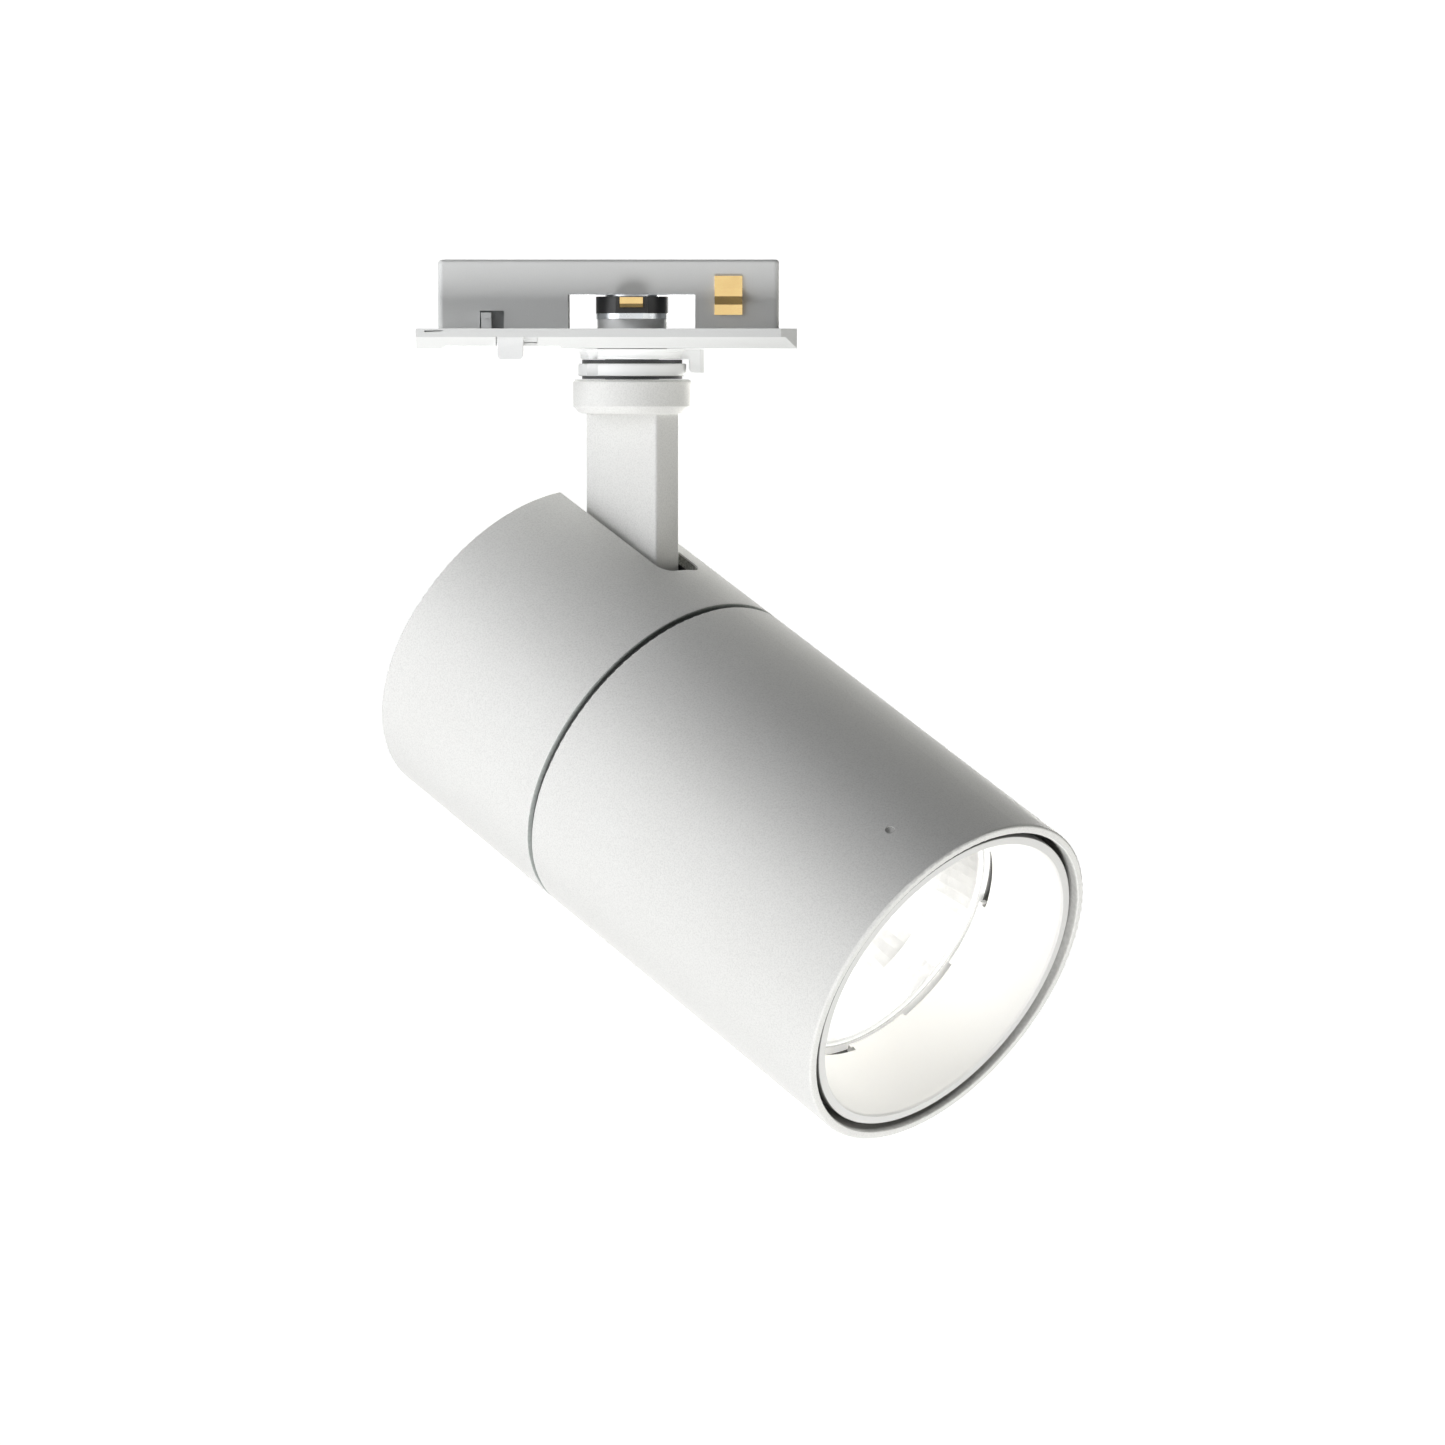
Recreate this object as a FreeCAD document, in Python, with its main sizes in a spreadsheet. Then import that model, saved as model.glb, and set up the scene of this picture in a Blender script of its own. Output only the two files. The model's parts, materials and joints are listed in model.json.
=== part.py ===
import FreeCAD, Part
import os, math

# Track spotlight: a plastic adapter that locks into a one-circuit track, a hollow pan spindle,
# a flat cast stem, and a cylindrical head that tilts about a bolt near the lower end of the stem.
# Row frame: origin on the pan axis in the plane where the adapter's flange meets the track's
# underside, +X along the track, +Z up into the track. Millimetres.

doc = FreeCAD.newDocument("track_spotlight")
sheet = doc.addObject("Spreadsheet::Sheet", "Dims")

TABLE = [
    # adapter flange
    ("flange_left", 46.4), ("flange_right", 35.8), ("flange_half", 16.8), ("flange_lip_half", 15.8),
    ("flange_foot_half", 13.3), ("flange_band", 1.85), ("flange_deep", 4.25), ("corner_bevel", 3.5),
    ("relief_deep", 0.55),
    # insert that goes up into the track
    ("insert_half", 8.1), ("insert_left", 42.0), ("insert_right", 32.0), ("insert_wall", 1.5),
    ("wall_top", 12.6), ("insert_top", 15.0), ("tray_floor", 2.3), ("window_half", 13.8),
    # lock lever and rotor
    ("lever_rad", 11.3), ("lever_top", 4.4), ("lever_foot", 6.6), ("sleeve_rad", 7.6), ("sleeve_bore", 6.0),
    ("sleeve_top", 2.15), ("floor_bore", 7.7), ("cam_thick", 1.2), ("cam_reach", 10.6), ("carrier_top", 7.0),
    ("contact_reach", 12.4), ("contact_level", 4.6),
    ("finger_in", 12.4), ("finger_out", 15.7), ("finger_low", 9.6),
    # latch
    ("tab_left", 28.9), ("tab_right", 23.2), ("tab_low", 6.8), ("latch_travel", 2.6),
    # pan stack
    ("spindle_rad", 5.9), ("spindle_bore", 3.6), ("thread_rad", 4.95), ("spindle_top", 11.2),
    ("spindle_foot", 15.0), ("spindle_flange", 8.6), ("spindle_flange_top", 13.4), ("bridge_level", 7.4),
    ("bridge_thick", 1.2),
    ("groove_rad", 10.95), ("ring_rad", 11.8), ("ring_top", 7.55), ("ring_foot", 10.25),
    # stem
    ("collar_rad", 12.95), ("collar_top", 11.0), ("collar_foot", 18.4), ("collar_floor", 15.8),
    ("cup_rad", 10.2), ("blade_wide", 20.9), ("blade_thick", 7.4), ("blade_round", 0.5), ("wire_bore", 2.3),
    # head
    ("head_rad", 39.0), ("rear_wall", 2.4), ("front_wall", 1.9), ("rear_end", 39.47), ("rear_front", 11.0),
    ("barrel_rear", 12.3), ("barrel_front", 102.3), ("end_round", 0.7),
    ("slot_half", 6.3), ("slot_front", 3.6), ("slot_low", 16.8), ("slot_round", 3.4),
    ("pivot_x", 15.25), ("pivot_up", 27.8), ("head_drop", 88.165), ("head_tilt", 28.755), ("head_pan", 41.486),
    # optics
    ("sink_front", 45.0), ("sink_rad", 34.5), ("sink_core", 11.0), ("fin_thick", 1.6), ("fin_count", 20.0),
    ("board_side", 19.0), ("board_thick", 1.2), ("emitter_rad", 6.8),
    ("cone_mouth", 33.9), ("cone_throat", 29.35), ("cone_front", 101.3), ("cone_rear", 82.0), ("sleeve_out", 35.75),
    # driver
    ("driver_back", 35.0), ("driver_fore", 3.0), ("driver_half", 23.0), ("driver_low", 25.0), ("driver_high", 3.0),
    ("driver_wall", 1.4),
]
D = {}
for i, (name, value) in enumerate(TABLE):
    sheet.set("A%d" % (i + 1), name)
    sheet.set("B%d" % (i + 1), str(value))
    sheet.setAlias("B%d" % (i + 1), name)
doc.recompute()
for name, value in TABLE:
    D[name] = float(sheet.get(name))


class Q:
    """A number that remembers the sheet expression it came from."""

    def __init__(self, text, val):
        self.text, self.val = text, float(val)

    @staticmethod
    def of(x):
        return x if isinstance(x, Q) else Q(repr(round(float(x), 6)), x)

    def __add__(self, o):
        o = Q.of(o); return Q("(%s + %s)" % (self.text, o.text), self.val + o.val)
    __radd__ = __add__

    def __sub__(self, o):
        o = Q.of(o); return Q("(%s - %s)" % (self.text, o.text), self.val - o.val)

    def __rsub__(self, o):
        o = Q.of(o); return Q("(%s - %s)" % (o.text, self.text), o.val - self.val)

    def __mul__(self, o):
        o = Q.of(o); return Q("(%s * %s)" % (self.text, o.text), self.val * o.val)
    __rmul__ = __mul__

    def __truediv__(self, o):
        o = Q.of(o); return Q("(%s / %s)" % (self.text, o.text), self.val / o.val)

    def __neg__(self):
        return Q("(0 - %s)" % self.text, -self.val)


class Sheet:
    def __getattr__(self, name):
        return Q("Dims." + name, D[name])


d = Sheet()


def v(x):
    return x.val if isinstance(x, Q) else float(x)


def bind(obj, prop, x):
    if isinstance(x, Q):
        obj.setExpression(prop, x.text)


NODES = []
count = [0]
HEAD = FreeCAD.Placement(FreeCAD.Vector(0, 0, -D["head_drop"]), FreeCAD.Rotation(-D["head_pan"], D["head_tilt"], 0))
STEM = FreeCAD.Placement(FreeCAD.Vector(0, 0, 0), FreeCAD.Rotation(-D["head_pan"], 0, 0))
HERE = FreeCAD.Placement()


def nm(base):
    count[0] += 1
    return "%s_%03d" % (base, count[0])


def keep(obj, label, place=None):
    """Name a finished sub-part and put it in its place."""
    obj.Label = label
    if place is not None:
        obj.Placement = place
    NODES.append(obj)
    return obj


def fail(msg):
    raise RuntimeError(msg)


# ---- Part primitives -------------------------------------------------------------------------

def vec(p):
    return FreeCAD.Vector(v(p[0]), v(p[1]), v(p[2]))


def bindpos(o, pos):
    for k, x in zip("xyz", pos):
        bind(o, ".Placement.Base." + k, x)


AXIS = {"Z": FreeCAD.Rotation(), "X": FreeCAD.Rotation(FreeCAD.Vector(0, 1, 0), 90),
        "Y": FreeCAD.Rotation(FreeCAD.Vector(1, 0, 0), -90)}


def cyl(r, h, pos=(0, 0, 0), axis="Z"):
    o = doc.addObject("Part::Cylinder", nm("Cylinder"))
    o.Radius, o.Height = v(r), v(h)
    bind(o, "Radius", r); bind(o, "Height", h)
    o.Placement = FreeCAD.Placement(vec(pos), AXIS[axis])
    bindpos(o, pos)
    return o


def cone(r1, r2, h, pos=(0, 0, 0), axis="Z"):
    o = doc.addObject("Part::Cone", nm("Cone"))
    o.Radius1, o.Radius2, o.Height = v(r1), v(r2), v(h)
    bind(o, "Radius1", r1); bind(o, "Radius2", r2); bind(o, "Height", h)
    o.Placement = FreeCAD.Placement(vec(pos), AXIS[axis])
    bindpos(o, pos)
    return o


def box(lo, hi):
    """Box between two corners."""
    o = doc.addObject("Part::Box", nm("Box"))
    size = [Q.of(b) - Q.of(a) for a, b in zip(lo, hi)]
    for prop, s in zip(("Length", "Width", "Height"), size):
        if s.val <= 0:
            fail("box with no size")
        setattr(o, prop, s.val)
        if "Dims" in s.text:
            bind(o, prop, s)
    o.Placement = FreeCAD.Placement(vec(lo), FreeCAD.Rotation())
    bindpos(o, lo)
    return o


def prism(sides, r, h, pos=(0, 0, 0), axis="Z"):
    o = doc.addObject("Part::Prism", nm("Prism"))
    o.Polygon = sides
    o.Circumradius, o.Height = v(r), v(h)
    bind(o, "Circumradius", r); bind(o, "Height", h)
    o.Placement = FreeCAD.Placement(vec(pos), AXIS[axis])
    bindpos(o, pos)
    return o


def cut(a, b):
    o = doc.addObject("Part::Cut", nm("Cut"))
    o.Base, o.Tool = a, b
    return o


def fuse(*objs):
    if len(objs) == 1:
        return objs[0]
    o = doc.addObject("Part::MultiFuse", nm("Fuse"))
    o.Shapes = list(objs)
    o.Refine = True
    return o


def common(a, b):
    o = doc.addObject("Part::MultiCommon", nm("Common"))
    o.Shapes = [a, b]
    return o


def group(*objs):
    """Several loose solids that are identical fasteners or one set."""
    o = doc.addObject("Part::Compound", nm("Group"))
    o.Links = list(objs)
    return o


def washer(ro, ri, h, pos=(0, 0, 0), axis="Z"):
    off = {"Z": (0, 0, 1), "X": (1, 0, 0), "Y": (0, 1, 0)}[axis]
    low = tuple(Q.of(p) - 1.0 * k if k else p for p, k in zip(pos, off))
    return cut(cyl(ro, h, pos, axis), cyl(ri, Q.of(h) + 2.0, low, axis))


def round_edges(obj, radius, test):
    """Part fillet on the edges whose middle passes the test."""
    doc.recompute()
    picks = []
    for i, e in enumerate(obj.Shape.Edges):
        m = e.CenterOfMass
        if test(e, m):
            picks.append((i + 1, radius, radius))
    if not picks:
        fail("no edge to round on " + obj.Name)
    o = doc.addObject("Part::Fillet", nm("Rounded"))
    o.Base = obj
    o.Edges = picks
    return o


# ---- PartDesign bodies -----------------------------------------------------------------------

def origin(body, role):
    for f in body.Origin.OriginFeatures:
        if f.Role == role:
            return f
    fail("no origin feature " + role)


def new_body(label):
    b = doc.addObject("PartDesign::Body", nm("Body"))
    b.Label = label
    return b


def sketch_on(body, role, offset=0):
    s = body.newObject("Sketcher::SketchObject", nm("Sketch"))
    s.AttachmentSupport = [(origin(body, role), "")]
    s.MapMode = "FlatFace"
    s.AttachmentOffset = FreeCAD.Placement(FreeCAD.Vector(0, 0, v(offset)), FreeCAD.Rotation())
    bind(s, ".AttachmentOffset.Base.z", offset)
    return s


def polygon(s, pts):
    """Closed outline whose corners are held by their distances from the sketch's origin."""
    import Sketcher
    n = len(pts)
    P = [FreeCAD.Vector(v(a), v(b), 0) for a, b in pts]
    first = s.GeometryCount
    for i in range(n):
        s.addGeometry(Part.LineSegment(P[i], P[(i + 1) % n]), False)
    for i in range(n):
        s.addConstraint(Sketcher.Constraint("Coincident", first + i, 2, first + (i + 1) % n, 1))
    for i, (a, b) in enumerate(pts):
        for kind, q in (("DistanceX", a), ("DistanceY", b)):
            c = s.addConstraint(Sketcher.Constraint(kind, -1, 1, first + i, 1, v(q)))
            if isinstance(q, Q):
                label = "p%d%s%d" % (first + i, kind[-1].lower(), c)
                s.renameConstraint(c, label)
                s.setExpression("Constraints." + label, q.text)
    return s


def circle(s, x, y, r):
    import Sketcher
    g = s.addGeometry(Part.Circle(FreeCAD.Vector(v(x), v(y), 0), FreeCAD.Vector(0, 0, 1), v(r)), False)
    for kind, q in (("DistanceX", x), ("DistanceY", y)):
        c = s.addConstraint(Sketcher.Constraint(kind, -1, 1, g, 3, v(q)))
        if isinstance(q, Q):
            s.renameConstraint(c, "c%d%s" % (g, kind[-1].lower())); s.setExpression("Constraints.c%d%s" % (g, kind[-1].lower()), q.text)
    c = s.addConstraint(Sketcher.Constraint("Radius", g, v(r)))
    if isinstance(r, Q):
        s.renameConstraint(c, "r%d" % g); s.setExpression("Constraints.r%d" % g, r.text)
    return s


def revolve(body, s, axis):
    f = body.newObject("PartDesign::Revolution", nm("Revolution"))
    f.Profile = s
    f.ReferenceAxis = (s, ["H_Axis" if axis == "X" else "V_Axis"])
    f.Angle = 360.0
    return f


def rev(label, pts, axis="Z", place=None, rounds=()):
    """Turned piece: outline of (along, radius) pairs for axis X, or (radius, height) pairs for axis Z."""
    b = new_body(label)
    s = polygon(sketch_on(b, "XZ_Plane"), pts)
    revolve(b, s, axis)
    doc.recompute()
    for radius, test in rounds:
        fillet(b, radius, test)
    return keep(b, label, place)


def pad(body, s, length, back=False, mid=False):
    f = body.newObject("PartDesign::Pad", nm("Pad"))
    f.Profile = s
    f.Length = v(length)
    bind(f, "Length", length)
    f.Reversed = back
    f.Midplane = mid
    return f


def pocket(body, s, length, back=False, mid=False, through=False):
    """Pocket that must take something away."""
    doc.recompute()
    before = body.Shape.Volume
    f = body.newObject("PartDesign::Pocket", nm("Pocket"))
    f.Profile = s
    if through:
        f.Type = "ThroughAll"
    else:
        f.Length = v(length)
        bind(f, "Length", length)
    f.Reversed = back
    f.Midplane = mid
    doc.recompute()
    if not body.Shape.Volume < before - 1e-3:
        fail("pocket cuts nothing in " + body.Label)
    return f


def pick(shape, test):
    names = []
    for i, e in enumerate(shape.Edges):
        if test(e, e.CenterOfMass):
            names.append("Edge%d" % (i + 1))
    return names


def fillet(body, radius, test, kind="Fillet"):
    doc.recompute()
    base = body.Tip
    names = pick(base.Shape, test)
    if not names:
        fail("no edge for a %s on %s" % (kind, body.Label))
    f = body.newObject("PartDesign::" + kind, nm(kind))
    f.Base = (base, names)
    if kind == "Fillet":
        f.Radius = v(radius); bind(f, "Radius", radius)
    else:
        f.Size = v(radius); bind(f, "Size", radius)
    doc.recompute()
    return f


def ring_at(r, along, axis="X", tol=0.02):
    """Test for a full circular edge of radius r at a place along the axis."""
    def test(e, m):
        if e.Curve.TypeId != "Part::GeomCircle":
            return False
        where = m.x if axis == "X" else m.z
        return abs(e.Curve.Radius - v(r)) < tol and abs(where - v(along)) < tol and e.Length > 3.0 * e.Curve.Radius
    return test


def upright_at(x=None, y=None, tol=0.02):
    def test(e, m):
        if e.Curve.TypeId != "Part::GeomLine":
            return False
        a, b = e.Vertexes[0].Point, e.Vertexes[-1].Point
        if abs(a.x - b.x) > tol or abs(a.y - b.y) > tol:
            return False
        return (x is None or abs(abs(m.x) - v(x)) < tol) and (y is None or abs(abs(m.y) - v(y)) < tol)
    return test


# ==== Track adapter ===========================================================================

# Base: the flange under the track with its chamfered lip, the tray walls that go up into the
# track, the bore for the lever's sleeve, and the channel for the latch slide.
b = new_body("adapter_base")
s = polygon(sketch_on(b, "YZ_Plane", -d.flange_left), [
    (-d.flange_half, 0), (-d.flange_half, -d.flange_band), (-d.flange_lip_half, -d.flange_band),
    (-d.flange_foot_half, -d.flange_deep), (d.flange_foot_half, -d.flange_deep),
    (d.flange_lip_half, -d.flange_band), (d.flange_half, -d.flange_band), (d.flange_half, 0)])
pad(b, s, d.flange_left + d.flange_right)
s = sketch_on(b, "XY_Plane")
polygon(s, [(-d.insert_left, -d.insert_half), (d.insert_right, -d.insert_half),
            (d.insert_right, d.insert_half), (-d.insert_left, d.insert_half)])
pad(b, s, d.wall_top)
doc.recompute()
fillet(b, 1.2, lambda e, m: upright_at(y=d.insert_half)(e, m) and m.z > 0 and e.Length > 5)
# bevelled front and rear corners at the right end
for sy in (-1, 1):
    s = sketch_on(b, "XY_Plane")
    y0, y1 = sy * (d.flange_half - d.corner_bevel), sy * (d.flange_half + 1.0)
    polygon(s, [(d.flange_right, y0), (d.flange_right + 1.0, y0), (d.flange_right + 1.0, y1),
                (d.flange_right - d.corner_bevel - 1.0, y1), (d.flange_right - d.corner_bevel, sy * d.flange_half)])
    pocket(b, s, d.flange_deep + 1.0, back=False)
# tray inside the insert
s = sketch_on(b, "XY_Plane", d.wall_top)
iw = d.insert_half - d.insert_wall
polygon(s, [(-d.insert_left + d.insert_wall, -iw), (d.insert_right - d.insert_wall, -iw),
            (d.insert_right - d.insert_wall, iw), (-d.insert_left + d.insert_wall, iw)])
pocket(b, s, d.wall_top + d.tray_floor)
# windows in both walls where the cam and the contacts swing out
s = sketch_on(b, "XZ_Plane")
polygon(s, [(-d.window_half, 0), (d.window_half, 0), (d.window_half, d.bridge_level + 0.2), (-d.window_half, d.bridge_level + 0.2)])
pocket(b, s, d.insert_half * 2 + 4.0, mid=True)
# bore for the lever's sleeve
s = circle(sketch_on(b, "XY_Plane"), 0, 0, d.floor_bore)
pocket(b, s, d.flange_deep + 1.0)
# shallow relief along the left part of the underside
s = sketch_on(b, "XZ_Plane")
polygon(s, [(-42.6, -d.flange_deep - 1.0), (-14.0, -d.flange_deep - 1.0), (-15.6, -d.flange_deep + d.relief_deep),
            (-40.0, -d.flange_deep + d.relief_deep)])
pocket(b, s, d.flange_half * 3, mid=True)
# channel for the latch slide, open to the tray, with the slot for its tab and its tooth
s = sketch_on(b, "XY_Plane", -1.2)
polygon(s, [(-33.4, -13.9), (-12.4, -13.9), (-12.4, -9.0), (-20.2, -9.0), (-20.2, -6.0), (-33.4, -6.0)])
pocket(b, s, 1.9)
s = sketch_on(b, "XY_Plane", -1.2)
polygon(s, [(-d.tab_left - 0.3, -16.0), (-d.tab_right + d.latch_travel + 0.4, -16.0),
            (-d.tab_right + d.latch_travel + 0.4, -13.0), (-d.tab_left - 0.3, -13.0)])
pocket(b, s, 4.0)
s = sketch_on(b, "XY_Plane", 3.9)
polygon(s, [(-32.9, -8.6), (-27.7, -8.6), (-27.7, -6.0), (-32.9, -6.0)])
pocket(b, s, 5.6)
# pilot holes: bridge feet in the floor, cover screws in the wall corners' posts
s = sketch_on(b, "XY_Plane", -d.tray_floor)
for sx in (-1, 1):
    circle(s, sx * 21.0, 0, 1.0)
pocket(b, s, 1.5)
# posts for the cover's screws
for x0, x1 in ((-40.5, -36.9), (26.9, 30.5)):
    s = sketch_on(b, "XY_Plane", -d.tray_floor)
    polygon(s, [(x0, -2.4), (x1, -2.4), (x1, 2.4), (x0, 2.4)])
    pad(b, s, d.wall_top + d.tray_floor - 0.1)
s = sketch_on(b, "XY_Plane", d.wall_top)
for x in (-38.7, 28.7):
    circle(s, x, 0, 0.9)
pocket(b, s, 7.0)
# short slit near the left end of the front band
s = sketch_on(b, "XZ_Plane", d.flange_half)
polygon(s, [(-44.5, -0.8), (-41.0, -0.65), (-40.4, -0.35), (-44.5, -0.45)])
pocket(b, s, 1.2)
keep(b, "adapter_base")

# Cover: closes the tray from above, with a rounded lead-in and room for the lead over the spindle.
b = new_body("adapter_cover")
s = polygon(sketch_on(b, "XY_Plane", d.wall_top), [(-d.insert_left, -d.insert_half), (d.insert_right, -d.insert_half),
                                                 (d.insert_right, d.insert_half), (-d.insert_left, d.insert_half)])
pad(b, s, d.insert_top - d.wall_top)
fillet(b, 1.2, upright_at(y=d.insert_half))
fillet(b, 0.8, lambda e, m: abs(m.z - D["insert_top"]) < 0.02)
s = sketch_on(b, "XY_Plane", d.wall_top)
polygon(s, [(-24.0, -5.2), (12.0, -5.2), (12.0, 5.2), (-24.0, 5.2)])
pocket(b, s, 1.5, back=True)
s = sketch_on(b, "XY_Plane", d.insert_top)
for x in (-38.7, 28.7):
    circle(s, x, 0, 1.25)
pocket(b, s, 3.0)
s = sketch_on(b, "XY_Plane", d.insert_top)
for x in (-38.7, 28.7):
    circle(s, x, 0, 2.3)
pocket(b, s, 1.2)
keep(b, "adapter_cover")


def screw(r_head, h_head, r_shank, length, pos, axis="Z", down=True, drive=0.0):
    """Pan-head screw: head above pos, shank below it along the axis."""
    sgn = -1.0 if down else 1.0
    k = {"X": 0, "Y": 1, "Z": 2}[axis]

    def at(t):
        p = list(pos); p[k] = Q.of(p[k]) + t; return tuple(p)
    if down:
        parts = [cyl(r_head, h_head, at(0.0), axis), cyl(r_shank, length + 0.2, at(-length), axis)]
        o = fuse(*parts)
        if drive:
            o = cut(o, prism(6, drive, h_head, at(h_head * 0.45), axis))
    else:
        parts = [cyl(r_head, h_head, at(-h_head), axis), cyl(r_shank, length + 0.2, at(-0.2), axis)]
        o = fuse(*parts)
        if drive:
            o = cut(o, prism(6, drive, h_head, at(-h_head * 1.45), axis))
    return o


keep(group(screw(2.1, 1.1, 0.9, 6.0, (-38.7, 0, d.insert_top - 1.2), drive=1.0),
           screw(2.1, 1.1, 0.9, 6.0, (28.7, 0, d.insert_top - 1.2), drive=1.0)), "cover_screws")

# Hanger bridge: a steel hat strap over the rotor; it carries the spindle and stands on the floor.
b = new_body("hanger_bridge")
lo, t = d.bridge_level, d.bridge_thick
s = polygon(sketch_on(b, "XZ_Plane"), [
    (-24.0, -d.tray_floor), (-17.4, -d.tray_floor), (-17.4, lo), (17.4, lo), (17.4, -d.tray_floor), (24.0, -d.tray_floor),
    (24.0, -d.tray_floor + t), (18.6, -d.tray_floor + t), (18.6, lo + t), (-18.6, lo + t), (-18.6, -d.tray_floor + t), (-24.0, -d.tray_floor + t)])
pad(b, s, 12.6, mid=True)
s = circle(sketch_on(b, "XY_Plane", lo + t), 0, 0, d.thread_rad + 0.06)
pocket(b, s, t + 1.0)
s = sketch_on(b, "XY_Plane", 0)
for sx in (-1, 1):
    circle(s, sx * 21.0, 0, 1.3)
pocket(b, s, 4.0)
keep(b, "hanger_bridge")
keep(group(*[screw(2.0, 1.2, 1.0, 2.5, (sx * 21.0, 0, -d.tray_floor + d.bridge_thick), drive=1.0) for sx in (-1, 1)]), "bridge_screws")

# Hollow pan spindle: flange captured in the stem's cup, shank through the lever, thread in the bridge.
b = new_body("pan_spindle")
s = polygon(sketch_on(b, "XZ_Plane"), [
    (d.spindle_bore, -d.spindle_foot), (d.spindle_flange, -d.spindle_foot), (d.spindle_flange, -d.spindle_flange_top),
    (d.spindle_rad, -d.spindle_flange_top), (d.spindle_rad, d.bridge_level), (d.thread_rad, d.bridge_level),
    (d.thread_rad, d.spindle_top), (d.spindle_bore, d.spindle_top)])
revolve(b, s, "Z")
doc.recompute()
fillet(b, 0.35, ring_at(d.thread_rad, d.spindle_top, "Z"), "Chamfer")
# stop key on the flange's rear side
s = sketch_on(b, "XY_Plane", -d.spindle_flange_top)
polygon(s, [(-0.32, d.spindle_flange - 0.6), (0.32, d.spindle_flange - 0.6), (0.32, 9.8), (-0.32, 9.8)])
pad(b, s, d.spindle_foot - d.spindle_flange_top, back=True)
keep(b, "pan_spindle", STEM)
keep(washer(6.2, d.thread_rad + 0.06, 0.5, (0, 0, d.bridge_level + d.bridge_thick)), "spindle_lock_washer")
keep(cut(prism(6, 7.2, 1.9, (0, 0, d.bridge_level + d.bridge_thick + 0.5)),
         cyl(d.thread_rad, 4.0, (0, 0, d.bridge_level + d.bridge_thick))), "spindle_nut")

# Spacer ring with its index notch, between two dark washers.
b = new_body("spacer_ring")
s = polygon(sketch_on(b, "XZ_Plane"), [(d.spindle_rad, -d.ring_foot), (d.ring_rad, -d.ring_foot), (d.ring_rad, -d.ring_top), (d.spindle_rad, -d.ring_top)])
revolve(b, s, "Z")
doc.recompute()
fillet(b, 0.3, lambda e, m: e.Curve.TypeId == "Part::GeomCircle" and abs(e.Curve.Radius - D["ring_rad"]) < 0.02)
s = sketch_on(b, "XY_Plane", -d.ring_top)
polygon(s, [(-7.35, -7.6), (-7.35, -12.0), (-9.7, -12.0), (-9.7, -6.7)])
pocket(b, s, 3.5)
keep(b, "spacer_ring")
keep(group(washer(d.groove_rad, d.spindle_rad, d.ring_top - d.lever_foot - 0.1, (0, 0, -d.ring_top)),
           washer(d.groove_rad, d.spindle_rad, d.collar_top - d.ring_foot - 0.1, (0, 0, -d.collar_top + 0.1))), "pan_washers")

# Three-pole terminal block and its clamp screws.
b = new_body("terminal_block")
s = polygon(sketch_on(b, "YZ_Plane", -36.0), [(-6.0, -d.tray_floor), (6.0, -d.tray_floor), (6.0, 4.4), (4.6, 6.0), (-4.6, 6.0), (-6.0, 4.4)])
pad(b, s, 9.6)
s = sketch_on(b, "YZ_Plane", -26.4)
for y in (-3.8, 0, 3.8):
    circle(s, y, 1.2, 1.25)
pocket(b, s, 7.6)
s = sketch_on(b, "XY_Plane", 6.0)
for y in (-3.8, 0, 3.8):
    circle(s, -31.2, y, 1.3)
pocket(b, s, 3.0)
keep(b, "terminal_block")
keep(group(*[cut(cyl(1.25, 2.4, (-31.2, y, 3.1)), box((-32.6, y - 0.2, 5.0), (-29.8, y + 0.2, 5.6))) for y in (-3.8, 0, 3.8)]), "terminal_screws")

# Sprung earth contact on the front wall of the insert.
b = new_body("earth_contact")
s = polygon(sketch_on(b, "YZ_Plane", 18.0), [
    (-d.insert_half, 3.0), (-d.insert_half - 0.5, 3.0), (-d.insert_half - 0.5, 5.2), (-d.insert_half - 1.8, 7.0), (-d.insert_half - 0.5, 8.8),
    (-d.insert_half - 0.5, 11.4), (-d.insert_half, 11.4), (-d.insert_half, 8.6), (-d.insert_half - 1.15, 7.0), (-d.insert_half, 5.4)])
pad(b, s, 6.0)
keep(b, "earth_contact")

# Latch return spring: a flat bent spring in the channel, in front of the slide.
LEAF = [(-17.5, -13.7), (-17.1, -13.7), (-17.1, -10.1), (-13.9, -10.1), (-13.9, -13.7), (-13.5, -13.7), (-13.5, -9.7), (-17.5, -9.7)]

# ==== Lock: lever, cam and contacts turn together about the pan axis ============================
b = new_body("lock_lever")
s = polygon(sketch_on(b, "XZ_Plane"), [
    (d.sleeve_bore, -d.lever_foot), (d.lever_rad, -d.lever_foot), (d.lever_rad, -d.lever_top - 1.5), (d.lever_rad + 0.13, -d.lever_top - 1.0),
    (d.lever_rad + 0.45, -d.lever_top - 0.5), (d.lever_rad + 1.05, -d.lever_top),
    (d.sleeve_rad, -d.lever_top), (d.sleeve_rad, d.sleeve_top), (d.sleeve_bore, d.sleeve_top)])
revolve(b, s, "Z")
doc.recompute()
fillet(b, 0.25, ring_at(d.lever_rad, -d.lever_foot, "Z"))
s = sketch_on(b, "XY_Plane", -d.lever_top)
polygon(s, [(9.0, -3.6), (d.finger_out - 0.8, -3.6), (d.finger_out, -2.8), (d.finger_out, 2.8), (d.finger_out - 0.8, 3.6), (9.0, 3.6)])
pad(b, s, d.lever_foot - d.lever_top, back=True)
s = sketch_on(b, "XY_Plane", -d.lever_top)
polygon(s, [(d.finger_in, -3.6), (d.finger_out - 0.8, -3.6), (d.finger_out, -2.8), (d.finger_out, 2.8), (d.finger_out - 0.8, 3.6), (d.finger_in, 3.6)])
pad(b, s, d.finger_low - d.lever_top, back=True)
fillet(b, 1.1, lambda e, m: abs(m.z + D["finger_low"]) < 0.02 and abs(m.x - D["finger_in"]) < 0.02 and e.Length > 5)
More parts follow.
